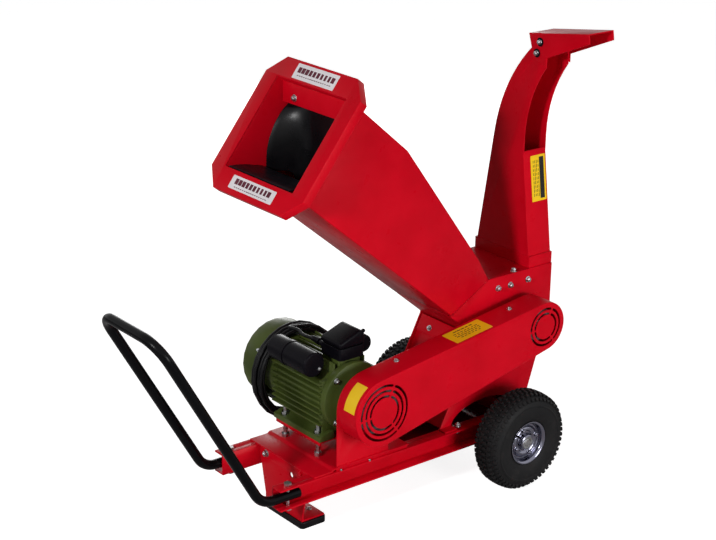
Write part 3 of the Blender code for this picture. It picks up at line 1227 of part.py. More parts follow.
def chute_side(grow_front, cut_out):
    """Return the chute cheek's outline in Y and Z, or the hollow inside it."""
    w = CHUTE_WALL if cut_out else 0.0
    rear_lean = (CHUTE_FOOT_HALF - CHUTE_REAR_Y) / (CHUTE_BEND_Z - HOUSING_TOP_Z)
    base = HOUSING_TOP_Z + GAP - (10 if cut_out else 0)
    slope = math.degrees(math.atan(rear_lean))
    rear_centre = (CHUTE_REAR_Y - CHUTE_REAR_BEND * math.cos(math.radians(slope)),
                   CHUTE_BEND_Z - CHUTE_REAR_BEND * math.sin(math.radians(slope)))
    neck_centre = (CHUTE_NECK_Y - CHUTE_NECK_BEND, CHUTE_BEND_Z)
    rear_end = math.degrees(math.asin((CHUTE_TOP_Z + 6 - rear_centre[1]) / CHUTE_REAR_BEND))
    neck_end = math.degrees(math.asin((CHUTE_TOP_Z - 44 - neck_centre[1]) / CHUTE_NECK_BEND))
    rear = [(CHUTE_FOOT_HALF - w, base)] + arc(rear_centre, CHUTE_REAR_BEND - w, slope, rear_end, 10)
    neck = arc(neck_centre, CHUTE_NECK_BEND + w, 0, neck_end, 8)
    front_low = [(-CHUTE_FOOT_HALF + w, base), (CHUTE_NECK_Y + w, CHUTE_BEND_Z - 44)]
    if not cut_out:
        return front_low + neck + [(neck[-1][0], CHUTE_TOP_Z),
                                   (rear[-1][0] - 4, CHUTE_TOP_Z + 18)] + rear[::-1]
    front = front_low[:1] + [(CHUTE_NECK_Y + w, CHUTE_COVER_TOP_Z),
                             (CHUTE_NECK_Y - grow_front, CHUTE_COVER_TOP_Z)]
    front += [(neck[-1][0] - grow_front, CHUTE_TOP_Z - 44), (neck[-1][0] - grow_front, CHUTE_TOP_Z + 60)]
    return front + [(rear[-1][0] - 4, CHUTE_TOP_Z + 60)] + rear[::-1]


def make_chute():
    """Discharge chute: closed below, an open curved channel above, with a deflector on top."""
    chute = prism("chute", chute_side(0, False), "X", CHUTE_FRONT_X, CHUTE_BACK_X)
    cut(chute, prism("chute_hollow", chute_side(40, True), "X", CHUTE_FRONT_X + CHUTE_WALL,
                     CHUTE_BACK_X - CHUTE_WALL))
    collar_z = (HOUSING_TOP_Z + GAP, HOUSING_TOP_Z + GAP + 30)
    t = 1.5
    x = (CHUTE_FRONT_X - t, CHUTE_BACK_X + t)
    y = (-CHUTE_FOOT_HALF - t, CHUTE_FOOT_HALF + t)
    collar = block("chute_collar", (x[0], HOUSING_BACK_X), y, collar_z)
    inside = CHUTE_FOOT_HALF - 9
    cut(collar, block("collar_bore", (CHUTE_FRONT_X + CHUTE_WALL, CHUTE_BACK_X - CHUTE_WALL),
                      (-inside, inside),
                      (collar_z[0] - 5, collar_z[1] + 5)))
    join(chute, collar)
    drill(chute, "deflector_hole", DEFLECTOR_BOLT_RADIUS + GAP, "X", DEFLECTOR_PIVOT, CHUTE_FRONT_X - 10,
          CHUTE_BACK_X + 10, 16)
    make_deflector()


def make_deflector():
    """Deflector: an upside-down channel over the chute's end, on one long pivot bolt."""
    py, pz = DEFLECTOR_PIVOT
    rise = math.radians(DEFLECTOR_RISE)
    along = Vector((-math.cos(rise), math.sin(rise)))
    up = Vector((math.sin(rise), math.cos(rise)))
    middle = Vector((py, pz))
    back = middle + up * DEFLECTOR_LIFT - along * 24
    front = back + along * DEFLECTOR_LENGTH
    w = CHUTE_WALL
    cheek = [back + up * w, front + up * w, front - up * (DEFLECTOR_CHEEK - w), middle + Vector((-33, -7)),
             middle + Vector((-33, -28)), middle + Vector((12, -14))]
    outer = (CHUTE_FRONT_X - GAP - w, CHUTE_BACK_X + GAP + w)
    deflector = prism("deflector", [tuple(p) for p in cheek], "X", *outer)
    hollow = [back - along * 40 - up * 0.0, front + along * 40, front + along * 40 - up * 130,
              back - along * 60 - up * 130]
    cut(deflector, prism("deflector_hollow", [tuple(p) for p in hollow], "X", outer[0] + w, outer[1] - w))
    drill(deflector, "pivot_hole", DEFLECTOR_BOLT_RADIUS + GAP, "X", DEFLECTOR_PIVOT, outer[0] - 5,
          outer[1] + 5, 16)
    hang_on(pivot("deflector_axis", (outer[0] + outer[1]) / 2, py, pz), deflector)
    low, high = outer[0] - GAP, outer[1] + GAP
    bolt = prism("deflector_bolt", arc(DEFLECTOR_PIVOT, DEFLECTOR_BOLT_RADIUS, 0, 337.5, 15), "X", low - 1,
                 high + 9,
                 "zinc")
    head = prism("deflector_head", hexagon(DEFLECTOR_PIVOT, 16), "X", low - 6, low, "zinc")
    nut = prism("deflector_nut", hexagon(DEFLECTOR_PIVOT, 16), "X", high, high + 7, "zinc")
    join(bolt, head, nut)


def clear_scene():
    """Remove every object, so that the model starts empty."""
    for item in list(bpy.data.objects):
        bpy.data.objects.remove(item, do_unlink=True)


def move_origin():
    """Move the whole model, so that the origin is under the middle of the leg pad."""
    for item in bpy.data.objects:
        if item.parent is None:
            item.location.x -= ORIGIN_X * MM


def main():
    """Build the whole chipper."""
    clear_scene()
    make_rails()
    make_crossbar()
    make_leg()
    make_axle_and_wheels()
    make_handle()
    make_platform()
    make_motor()
    make_motor_boxes()
    make_cord()
    make_rotor()
    make_drive()
    make_guard()
    make_housing()
    make_stand()
    make_hopper()
    make_chute()
    move_origin()


main()
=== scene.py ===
"""Electric wood chipper: finishes, fittings, cord, floor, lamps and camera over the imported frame."""
import logging
import math
from collections.abc import Callable, Iterator, Sequence
from contextlib import contextmanager
from dataclasses import dataclass
from enum import Enum

import bpy
from mathutils import Matrix, Vector


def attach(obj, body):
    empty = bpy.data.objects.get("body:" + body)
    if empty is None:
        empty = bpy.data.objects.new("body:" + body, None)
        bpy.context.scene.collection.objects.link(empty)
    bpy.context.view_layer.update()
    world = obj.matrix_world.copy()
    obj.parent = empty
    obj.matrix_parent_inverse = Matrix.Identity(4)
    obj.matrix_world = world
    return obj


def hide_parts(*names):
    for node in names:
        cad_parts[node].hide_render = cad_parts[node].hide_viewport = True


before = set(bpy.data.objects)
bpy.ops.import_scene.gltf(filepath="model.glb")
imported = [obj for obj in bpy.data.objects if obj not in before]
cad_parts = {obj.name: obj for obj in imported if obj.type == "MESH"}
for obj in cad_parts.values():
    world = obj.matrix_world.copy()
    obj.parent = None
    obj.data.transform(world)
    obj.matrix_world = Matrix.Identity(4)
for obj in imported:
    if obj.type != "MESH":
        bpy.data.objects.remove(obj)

LOG = logging.getLogger("chipper")
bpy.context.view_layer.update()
Pair = tuple[float, float]
Triple = tuple[float, float, float]
PrintRows = tuple[tuple[float, float, float, int], ...]
Piece = bpy.types.Object
Tree = bpy.types.NodeTree
Socket = bpy.types.NodeSocket

MM = 0.001
AXLE_SHIFT = 551.0
WORLD = Matrix.Translation((AXLE_SHIFT * MM, 0, 0)) @ Matrix.Scale(MM, 4)
RIGHT, LEFT = (1, 0, 0), (-1, 0, 0)
FAR, NEAR = (0, 1, 0), (0, -1, 0)
UP, DOWN = (0, 0, 1), (0, 0, -1)


# Modelling steps that every sub-assembly shares. Shapes are drawn in mm from under the axle.

def only(*pieces: Piece) -> None:
    """Select these pieces alone, the last one active."""
    bpy.ops.object.select_all(action="DESELECT")
    for piece in pieces:
        piece.select_set(True)
    bpy.context.view_layer.objects.active = pieces[-1]


@contextmanager
def editing(piece: Piece, choose: Callable[[Vector, Vector], bool] | None = None) -> Iterator[None]:
    """Open a piece in edit mode.

    Args:
        piece: the mesh to open.
        choose: test of a face's centre and normal; with none, everything is selected.
    """
    only(piece)
    mesh = piece.data
    mesh.vertices.foreach_set("select", [choose is None] * len(mesh.vertices))
    mesh.edges.foreach_set("select", [choose is None] * len(mesh.edges))
    for face in mesh.polygons:
        face.select = choose is None or choose(face.center, face.normal)
    bpy.context.tool_settings.mesh_select_mode = (choose is None, False, choose is not None)
    bpy.ops.object.mode_set(mode="EDIT")
    yield
    bpy.ops.object.mode_set(mode="OBJECT")


def modify(piece: Piece, kind: str, **settings: object) -> None:
    """Add a modifier, set it up and apply it.

    Args:
        piece: the mesh it works on.
        kind: the modifier's type.
        settings: the modifier's own settings.
    """
    only(piece)
    modifier = piece.modifiers.new(kind.lower(), kind)
    for key, value in settings.items():
        setattr(modifier, key, value)
    bpy.ops.object.modifier_apply(modifier=modifier.name)


def soften(piece: Piece, width: float, segments: int = 2, angle: float = 30.0) -> None:
    """Round the edges that turn by the angle or more, in degrees, to a width in the mesh's own unit."""
    modify(piece, "BEVEL", width=width, segments=segments, limit_method="ANGLE",
           angle_limit=math.radians(angle), use_clamp_overlap=True)


def carve(piece: Piece, *cutters: Piece) -> None:
    """Cut shapes out of a piece and delete them.

    Args:
        piece: the mesh that is cut.
        cutters: the shapes, in the same place and unit.
    """
    for cutter in cutters:
        modify(piece, "BOOLEAN", object=cutter, operation="DIFFERENCE", solver="EXACT")
        bpy.data.objects.remove(cutter)


def copied(piece: Piece, name: str) -> Piece:
    """Return a copy of a piece with a mesh of its own.

    Args:
        piece: the piece to copy.
        name: the copy's name.

    Returns:
        The copy, riding on nothing.
    """
    twin = piece.copy()
    twin.data = piece.data.copy()
    twin.name = twin.data.name = name
    twin.parent = None
    for key in list(twin.keys()):
        del twin[key]
    bpy.context.scene.collection.objects.link(twin)
    return twin


def joined(name: str, pieces: Sequence[Piece]) -> Piece:
    """Join pieces into one.

    Args:
        name: the joined piece's name.
        pieces: the pieces, at least one.

    Returns:
        The joined piece.
    """
    only(*pieces)
    if len(pieces) > 1:
        bpy.ops.object.join()
    made = bpy.context.view_layer.objects.active
    made.name = made.data.name = name
    return made


def settle(piece: Piece, place: Matrix = Matrix()) -> Piece:
    """Move a piece drawn in mm to its place in the frame, and put that place in its mesh.

    Args:
        piece: the piece, drawn round its own origin.
        place: where that origin and its directions are on the machine, in mm.

    Returns:
        The piece.
    """
    piece.matrix_world = WORLD @ place
    only(piece)
    bpy.ops.object.transform_apply(location=True, rotation=True, scale=True)
    return piece


def moved(piece: Piece, shift: Sequence[float]) -> Piece:
    """Shift a piece within its own drawing.

    Args:
        piece: the piece, at its own origin.
        shift: how far it goes.

    Returns:
        The piece.
    """
    piece.location = shift
    only(piece)
    bpy.ops.object.transform_apply(location=True)
    return piece


def facing(place: Sequence[float], out: Sequence[float], up: Sequence[float] = UP) -> Matrix:
    """Return a place whose third direction points out of a surface.

    Args:
        place: the point on the surface, in mm.
        out: the way out of the surface.
        up: the way that the piece's second direction leans.

    Returns:
        The matrix from the piece's own directions to the machine.
    """
    third = Vector(out).normalized()
    first = Vector(up).cross(third).normalized()
    turn = Matrix((first, third.cross(first), third)).transposed().to_4x4()
    turn.translation = Vector(place)
    return turn


def upright(start: float) -> Matrix:
    """Return the place of an outline drawn along and up the machine, its depth running to the far side."""
    return Matrix(((1, 0, 0, 0), (0, 0, 1, start), (0, 1, 0, 0), (0, 0, 0, 1)))


def laid(name: str, points: Sequence[Triple], filled: bool = False) -> Piece:
    """Lay a circle of points on an outline.

    Args:
        name: the piece's name.
        points: the outline, in order.
        filled: whether the outline gets a face.

    Returns:
        The outline as a mesh.
    """
    bpy.ops.mesh.primitive_circle_add(vertices=len(points), fill_type="NGON" if filled else "NOTHING")
    piece = bpy.context.object
    piece.name = piece.data.name = name
    for vertex, point in zip(piece.data.vertices, points):
        vertex.co = point
    return piece


def lathe(name: str, profile: Sequence[Pair], steps: int = 64) -> Piece:
    """Spin a profile round the third direction. Its ends join, but not along the axis.

    Args:
        name: the piece's name.
        profile: pairs of radius and height.
        steps: steps round the circle.

    Returns:
        The turned mesh, its faces outwards.
    """
    piece = laid(name, [(r, 0.0, h) for r, h in profile])
    last = len(profile) - 1
    if profile[0][0] == 0 and profile[last][0] == 0:
        only(piece)
        for item in (*piece.data.vertices, *piece.data.edges):
            item.select = False
        for edge in piece.data.edges:
            edge.select = set(edge.vertices) == {0, last}
        bpy.context.tool_settings.mesh_select_mode = (False, True, False)
        bpy.ops.object.mode_set(mode="EDIT")
        bpy.ops.mesh.delete(type="EDGE")
        bpy.ops.object.mode_set(mode="OBJECT")
    with editing(piece):
        bpy.ops.mesh.spin(steps=steps, angle=2 * math.pi, center=(0, 0, 0), axis=UP)
        bpy.ops.mesh.select_all(action="SELECT")
        bpy.ops.mesh.remove_doubles(threshold=0.001)
        bpy.ops.mesh.normals_make_consistent(inside=False)
    return piece


def plate(name: str, outline: Sequence[Pair], depth: float, edge: float = 0.0,
          segments: int = 2) -> Piece:
    """Extrude an outline along the third direction.

    Args:
        name: the piece's name.
        outline: the outline's points.
        depth: how far it is extruded.
        edge: width of the rounding on its sharp edges.
        segments: faces across that rounding.

    Returns:
        The plate, its faces outwards.
    """
    piece = laid(name, [(u, v, 0.0) for u, v in outline], filled=True)
    with editing(piece):
        bpy.ops.mesh.extrude_region_move(TRANSFORM_OT_translate={"value": (0, 0, depth)})
        bpy.ops.mesh.select_all(action="SELECT")
        bpy.ops.mesh.normals_make_consistent(inside=False)
    if edge:
        soften(piece, edge, segments)
    return piece


def bow(centre: Pair, radius: float, start: float, end: float, steps: int) -> list[Pair]:
    """Return the points of a round arc between two angles in degrees, both ends among them."""
    turns = [math.radians(start + (end - start) * k / steps) for k in range(steps + 1)]
    return [(centre[0] + radius * math.cos(t), centre[1] + radius * math.sin(t)) for t in turns]


def panel(width: float, height: float, corner: float, steps: int = 5) -> list[Pair]:
    """Return the outline of a rounded rectangle round the origin, with so many steps in each corner."""
    a, b = width / 2 - corner, height / 2 - corner
    return [point for u, v, turn in ((a, b, 0), (-a, b, 90), (-a, -b, 180), (a, -b, 270))
            for point in bow((u, v), corner, turn, turn + 90, steps)]


def bar(name: str, points: Sequence[Vector], radius: float, sides: int) -> Piece:
    """Run a round bar along points.

    Args:
        name: the bar's name.
        points: its middle line.
        radius: its radius.
        sides: Blender's resolution round the bar.

    Returns:
        The curve, selected and active.
    """
    curve = bpy.data.curves.new(name, "CURVE")
    curve.dimensions = "3D"
    curve.bevel_depth = radius
    curve.bevel_resolution = sides
    curve.use_fill_caps = True
    line = curve.splines.new("POLY")
    line.points.add(len(points) - 1)
    for knot, point in zip(line.points, points):
        knot.co = (*point, 1)
    made = bpy.data.objects.new(name, curve)
    bpy.context.scene.collection.objects.link(made)
    only(made)
    return made


def eased(share: float) -> float:
    """Return a share held between 0 and 1, with a soft start and end."""
    share = min(max(share, 0.0), 1.0)
    return share * share * (3 - 2 * share)


# Node helpers, which the finishes, the floor and the surround share.

def wired(tree: Tree, node: str | bpy.types.Node, inputs: dict[str | int, object],
          **settings: object) -> bpy.types.Node:
    """Set up a node.

    Args:
        tree: the nodes that it is among.
        node: the node, or the type of a new one.
        inputs: each input's number or colour, or the output that feeds it.
        settings: the node's own settings.

    Returns:
        The node.
    """
    if isinstance(node, str):
        node = tree.nodes.new(node)
    for key, value in settings.items():
        setattr(node, key, value)
    for key, value in inputs.items():
        if isinstance(value, Socket):
            tree.links.new(value, node.inputs[key])
        else:
            node.inputs[key].default_value = value
    return node


def noise(tree: Tree, place: Socket, scale: float, detail: float = 2.0) -> Socket:
    """Return a new noise with its waves per metre and its layers of finer waves."""
    return wired(tree, "ShaderNodeTexNoise", {"Scale": scale, "Detail": detail, "Vector": place}).outputs["Fac"]


def ramped(tree: Tree, value: Socket, stops: Sequence[tuple[float, Sequence[float]]]) -> Socket:
    """Turn a value into a colour between two.

    Args:
        tree: the nodes to add to.
        value: what the colour follows.
        stops: two values with their colours.

    Returns:
        The colour.
    """
    ramp = wired(tree, "ShaderNodeValToRGB", {"Fac": value})
    for element, (position, colour) in zip(ramp.color_ramp.elements, stops):
        element.position, element.color = position, colour
    return ramp.outputs["Color"]


class Grain(Enum):
    """How the fine grain of a finish stands up, as layers of finer waves."""

    PEEL = 2.0
    SAND = 9.0
    BRUSHED = 4.0
    SMOOTH = 1.0


@dataclass(frozen=True)
class Finish:
    """One finish, with its colours in patches, gloss, grain and dust."""

    name: str
    colour: Triple
    second: Triple
    rough: Pair
    slot: str = ""
    metal: float = 0.0
    shine: float = 0.2
    grain: Grain = Grain.PEEL
    grain_size: float = 0.0012
    relief: float = 0.12
    patch_size: float = 0.11
    patch_limits: Pair = (0.35, 0.68)
    dust: float = 0.05
    dust_colour: Triple = (150, 140, 135)
    dust_size: float = 0.22
    dust_limits: Pair = (0.5, 0.78)
    gloss_waves: float = 2.6
    gloss_limits: Pair = (0.3, 0.7)
    edge: float = 0.0007

    @staticmethod
    def linear(colour: Triple) -> tuple[float, float, float, float]:
        """Return a colour of 0 to 255 as the shader's own."""
        parts = [c / 255 for c in colour]
        return (*((p / 12.92 if p <= 0.04045 else ((p + 0.055) / 1.055) ** 2.4) for p in parts), 1.0)

    def material(self) -> bpy.types.Material:
        """Build the finish's material once, and return it."""
        made = bpy.data.materials.get(self.name)
        if made:
            return made
        made = bpy.data.materials.new(self.name)
        made.use_nodes = True
        tree = made.node_tree
        place = wired(tree, "ShaderNodeTexCoord", {}).outputs["Object"]
        colours = (self.linear(self.colour), self.linear(self.second))
        tint = ramped(tree, noise(tree, place, 1 / self.patch_size, 4.0), tuple(zip(self.patch_limits, colours)))
        specks = noise(tree, place, 1 / (self.patch_size * self.dust_size), 8.0)
        dusty = self.mapped(tree, specks, self.dust_limits, (0.0, self.dust))
        coloured = wired(tree, "ShaderNodeMix", {"Factor": dusty, "A": tint, "B": self.linear(self.dust_colour)},
                         data_type="RGBA")
        gloss = noise(tree, place, self.gloss_waves / self.patch_size, 6.0)
        wired(tree, tree.nodes["Principled BSDF"], {
            "Metallic": self.metal, "Specular IOR Level": 0.5 if self.metal else self.shine,
            "Base Color": coloured.outputs["Result"],
            "Roughness": self.mapped(tree, gloss, self.gloss_limits, self.rough),
            "Normal": self.relieved(tree, place)})
        return made

    def mapped(self, tree: Tree, value: Socket, limits: Pair, results: Pair) -> Socket:
        """Return a value mapped from two limits to two results."""
        (low, high), (first, last) = limits, results
        return wired(tree, "ShaderNodeMapRange", {"Value": value, "From Min": low, "From Max": high,
                                                  "To Min": first, "To Max": last}).outputs["Result"]

    def relieved(self, tree: Tree, place: Socket) -> Socket:
        """Return normals with the finish's grain and its rounded edges.

        Args:
            tree: the material's nodes.
            place: the coordinates that the grain reads.

        Returns:
            The normals.
        """
        if self.grain is Grain.BRUSHED:
            stretch = wired(tree, "ShaderNodeMapping", {"Scale": (0.12, 1.0, 1.0), "Vector": place})
            place = stretch.outputs["Vector"]
        inputs = {"Strength": self.relief, "Distance": self.grain_size * 0.4,
                  "Height": noise(tree, place, 1 / self.grain_size, self.grain.value)}
        if self.edge:
            inputs["Normal"] = wired(tree, "ShaderNodeBevel", {"Radius": self.edge}, samples=4).outputs["Normal"]
        return wired(tree, "ShaderNodeBump", inputs).outputs["Normal"]


RED = Finish("red_powder_coat", (204, 6, 29), (192, 3, 24), (0.26, 0.38), "red_paint", shine=0.06,
             dust=0.02, dust_colour=(130, 40, 48))
# A darker red with no shine: painted shade, used for the sheet set where only shade is seen under the machine.
RED_SHADE_PAINT = Finish("red_painted_shade", (112, 6, 16), (92, 4, 12), (0.6, 0.8), shine=0.0,
                   dust=0.03, dust_colour=(90, 40, 44))
BLACK = Finish("black_enamel", (5, 5, 7), (9, 9, 11), (0.16, 0.26), "black_paint", shine=0.08,
               dust=0.02, dust_colour=(60, 56, 58))
MOULDED = Finish("black_moulded_plastic", (9, 8, 12), (15, 13, 19), (0.26, 0.4), "black_plastic", shine=0.05,
                 relief=0.2, dust=0.02, dust_colour=(60, 56, 62))
GREEN = Finish("olive_motor_enamel", (76, 88, 38), (62, 74, 30), (0.32, 0.48), "motor_green", shine=0.14,
               grain=Grain.SAND, grain_size=0.0025, relief=0.22)
TYRE = Finish("tyre_rubber", (15, 15, 16), (22, 21, 22), (0.5, 0.7), "tyre", shine=0.15, relief=0.3,
              dust=0.08, dust_colour=(80, 75, 70), edge=0.0005)
RUBBER = Finish("soft_rubber", (7, 7, 9), (12, 11, 14), (0.24, 0.38), "rubber", shine=0.14, relief=0.2,
                dust=0.04, dust_colour=(70, 64, 66))
# Base colour darker and bluer than bare chrome: a painted dark, bluish reflection over the chrome's own colour.
CHROME = Finish("chrome_plate", (140, 140, 154), (112, 112, 126), (0.06, 0.16), "chrome", metal=1.0,
                grain=Grain.SMOOTH, relief=0.03)
ZINC = Finish("zinc_plate", (186, 188, 192), (150, 150, 148), (0.2, 0.38), "zinc", metal=1.0, relief=0.1,
              patch_size=0.03, dust=0.1, edge=0.0004)
KNIFE = Finish("ground_steel", (150, 152, 156), (120, 122, 128), (0.2, 0.36), "knife_steel", metal=1.0,
               grain=Grain.BRUSHED, relief=0.2)
IRON = Finish("cast_iron", (74, 74, 77), (56, 56, 58), (0.45, 0.65), "cast_iron", metal=0.7,
              grain=Grain.SAND, relief=0.3, dust=0.1)
SHEATH = Finish("cord_sheath", (8, 8, 10), (12, 12, 15), (0.3, 0.44), "cord", shine=0.15, dust=0.02, edge=0.0)
WHITE_VINYL = Finish("white_vinyl", (236, 230, 234), (224, 218, 222), (0.3, 0.42), shine=0.3, dust=0.04,
                     edge=0.0)
YELLOW_VINYL = Finish("yellow_vinyl", (246, 204, 24), (238, 192, 18), (0.3, 0.42), shine=0.3, dust=0.03,
                      edge=0.0)
MAROON_INK = Finish("maroon_ink", (92, 20, 44), (72, 14, 34), (0.35, 0.5), dust=0.02, edge=0.0)
DARK_VINYL = Finish("dark_vinyl", (24, 22, 18), (34, 31, 26), (0.35, 0.5), dust=0.04, edge=0.0)

CAD_FINISHES = {finish.slot: finish for finish in (RED, BLACK, MOULDED, GREEN, TYRE, RUBBER, CHROME, ZINC,
                                                   KNIFE, IRON, SHEATH)}


def dress(piece: Piece, finish: Finish, *nodes: str, body: str = "machine_frame",
          smooth: float = 35.0) -> Piece:
    """Give a piece its finish and smooth shading, and let it ride on a body.

    Args:
        piece: the finished mesh, in its place.
        finish: its finish.
        nodes: the CAD nodes that it stands for.
        body: the CAD body that it rides on.
        smooth: least turn, in degrees, of an edge that stays sharp.

    Returns:
        The piece.
    """
    piece.data.materials.clear()
    piece.data.materials.append(finish.material())
    only(piece)
    bpy.ops.object.shade_smooth_by_angle(angle=math.radians(smooth))
    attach(piece, body)
    if nodes:
        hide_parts(*nodes)
    LOG.info("%s: %d faces on %s", piece.name, len(piece.data.polygons), body)
    return piece


def refined(node: str, name: str, edge: float, segments: int = 2, finish: Finish = RED,
            body: str = "machine_frame", flat: bool = True) -> None:
    """Copy a CAD node, clear its flat seams, round its edges and dress it in the node's stead.

    Args:
        node: the CAD node.
        name: the copy's name.
        edge: width of the rounding, in mm.
        segments: faces across the rounding.
        finish: the copy's finish.
        body: the CAD body that it rides on.
        flat: whether flat faces are cleared of their inner edges.
    """
    piece = copied(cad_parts[node], name)
    with editing(piece):
        bpy.ops.mesh.remove_doubles(threshold=0.00002)
        if flat:
            bpy.ops.mesh.dissolve_limited(angle_limit=math.radians(1.0))
    soften(piece, edge * MM, segments, 28.0)
    dress(piece, finish, node, body=body)


@dataclass(frozen=True)
class Fastener:
    """A hexagon bolt or nut with its washer, drawn standing on the third direction."""

    across: float = 10.0
    head: float = 5.0
    washer: float = 17.0
    washer_wall: float = 1.4
    stud: float = 0.0
    stud_radius: float = 3.0
    corner_share: float = 0.577
    chamfer: float = 0.4

    def master(self, name: str) -> Piece:
        """Return one fastener round the origin, washer down."""
        rim, core, wall = self.washer / 2, self.stud_radius, self.washer_wall
        flat = rim - self.chamfer
        parts = [lathe(f"{name}_washer", [(core, 0), (flat, 0), (rim, self.chamfer), (rim, wall - 0.3),
                                          (flat, wall), (core, wall)], 28)]
        bpy.ops.mesh.primitive_cylinder_add(vertices=6, radius=self.across * self.corner_share, depth=self.head,
                                            location=(0, 0, wall + self.head / 2))
        head = bpy.context.object
        bpy.ops.object.transform_apply(location=True)
        with editing(head, lambda centre, normal: normal.z > 0.9):
            bpy.ops.mesh.inset(thickness=self.across * 0.09)
            bpy.ops.transform.translate(value=(0, 0, self.head * 0.12))
        soften(head, 0.35, 2, 25)
        parts.append(head)
        if self.stud:
            top = wall + self.head
            end = top + self.stud
            ribs = [(core - 0.5 * half, top + k + 0.5 * half) for k in range(int(self.stud)) for half in (0, 1)]
            parts.append(lathe(f"{name}_stud", [(0, top - 1), *ribs, (core, end - 0.8), (core - 0.8, end),
                                                (0, end)], 20))
        return joined(name, parts)

    def group(self, name: str, places: Sequence[Matrix], body: str = "machine_frame",
              finish: Finish = ZINC) -> Piece:
        """Put a copy of the fastener at each place and join them.

        Args:
            name: the group's name.
            places: where each one stands, in mm.
            body: the CAD body that they ride on.
            finish: their finish.

        Returns:
            The group, dressed.
        """
        first = self.master(name + "_one")
        made = [settle(copied(first, f"{name}_{k}"), place @ Matrix.Rotation(0.7 * k, 4, "Z"))
                for k, place in enumerate(places)]
        bpy.data.objects.remove(first)
        return dress(joined(name, made), finish, body=body, smooth=30)


@dataclass(frozen=True)
class Camera:
    """The photograph's own view: a long lens to the left of the chipper, a little above it."""

    focus: float = 1771.47
    image_width: float = 716.0
    azimuth: float = -38.728
    height: float = 20.232
    roll: float = 0.904
    target_height: float = 500.0
    shift: Triple = (-282.43, 21.21, 4537.89)

    def build(self) -> None:
        """Make the camera and give it to the scene."""
        az, el, roll = (math.radians(a) for a in (self.azimuth, self.height, self.roll))
        back = Vector((math.sin(az) * math.cos(el), -math.cos(az) * math.cos(el), math.sin(el)))
        right = (-back).cross(Vector(UP)).normalized()
        up = right.cross(-back)
        across = math.cos(roll) * right + math.sin(roll) * up
        top = math.cos(roll) * up - math.sin(roll) * right
        place = Vector((0, 0, self.target_height)) + self.shift[2] * back + self.shift[0] * across
        place += self.shift[1] * top
        data = bpy.data.cameras.new("camera")
        data.sensor_width = 36.0
        data.lens = self.focus / self.image_width * data.sensor_width
        data.clip_end = 60.0
        camera = bpy.data.objects.new("camera", data)
        bpy.context.scene.collection.objects.link(camera)
        turn = Matrix((across, top, back)).transposed().to_4x4()
        turn.translation = place * MM + Vector((AXLE_SHIFT * MM, 0, 0))
        camera.matrix_world = turn
        bpy.context.scene.camera = camera


@dataclass(frozen=True)
class Studio:
    """Pale floor, white surround and soft lamps."""

    floor_size: float = 34.0
    floor_drop: float = 0.0004
    floor_colour: float = 0.62
    floor_glow: float = 0.86
    surround: float = 0.13
    lamps: tuple[tuple[str, Triple, Triple, float, float], ...] = (
        ("key_lamp", (0.7, -4.0, 0.9), (0.4, 0, 0.5), 90.0, 1.4),
        ("left_lamp", (-3.2, -1.1, 2.1), (0.3, 0, 0.6), 80.0, 0.4),
        ("rear_lamp", (2.6, 3.4, 0.9), (0.3, 0, 0.5), 30.0, 1.6))

    def build(self) -> None:
        """Make the floor, the surround and the lamps."""
        bpy.ops.mesh.primitive_plane_add(size=self.floor_size, location=(0, 0, -self.floor_drop))
        floor = bpy.context.object
        floor.name = "studio_floor"
        with editing(floor):
            bpy.ops.mesh.subdivide(number_cuts=4)
        floor.data.materials.append(self.floor_material())
        self.surroundings()
        for name, place, target, power, size in self.lamps:
            self.lamp(name, place, target, power, size)

    def floor_material(self) -> bpy.types.Material:
        """Return the floor's pale finish, which glows to the camera like the white surround."""
        made = bpy.data.materials.new("studio_floor")
        made.use_nodes = True
        tree = made.node_tree
        place = wired(tree, "ShaderNodeTexCoord", {}).outputs["Object"]
        stops = [(k, (*[self.floor_colour + 0.02 * k] * 3, 1)) for k in (0, 1)]
        rays = wired(tree, "ShaderNodeLightPath", {})
        glow = wired(tree, "ShaderNodeMath", {0: rays.outputs["Is Camera Ray"], 1: self.floor_glow},
                     operation="MULTIPLY")
        wired(tree, tree.nodes["Principled BSDF"], {
            "Base Color": ramped(tree, noise(tree, place, 1.5), stops), "Roughness": 0.9,
            "Emission Color": (1, 1, 1, 1), "Emission Strength": glow.outputs[0]})
        return made

    def surroundings(self) -> None:
        """Make the world white to the camera and in reflections, and grey as a light."""
        world = bpy.data.worlds.new("surround")
        bpy.context.scene.world = world
        world.use_nodes = True
        tree = world.node_tree
        rays = wired(tree, "ShaderNodeLightPath", {}).outputs
        shown = rays["Is Camera Ray"]
        for kind in ("Is Glossy Ray", "Is Transmission Ray"):
            shown = wired(tree, "ShaderNodeMath", {0: shown, 1: rays[kind]}, operation="MAXIMUM").outputs[0]
        level = wired(tree, "ShaderNodeMapRange", {"To Min": self.surround, "To Max": 1.0, "Value": shown})
        wired(tree, tree.nodes["Background"], {"Color": (1, 1, 1, 1), "Strength": level.outputs["Result"]})

    def lamp(self, name: str, place: Triple, target: Triple, power: float, size: float) -> None:
        """Make a square soft lamp.

        Args:
            name: the lamp's name.
            place: where it hangs, in metres.
            target: what it points at.
            power: its power in watts.
            size: its side in metres.
        """
        data = bpy.data.lights.new(name, "AREA")
        data.energy = power
        data.size = size
        made = bpy.data.objects.new(name, data)
        bpy.context.scene.collection.objects.link(made)
        made.location = place
        made.rotation_euler = (Vector(target) - Vector(place)).to_track_quat("-Z", "Y").to_euler()


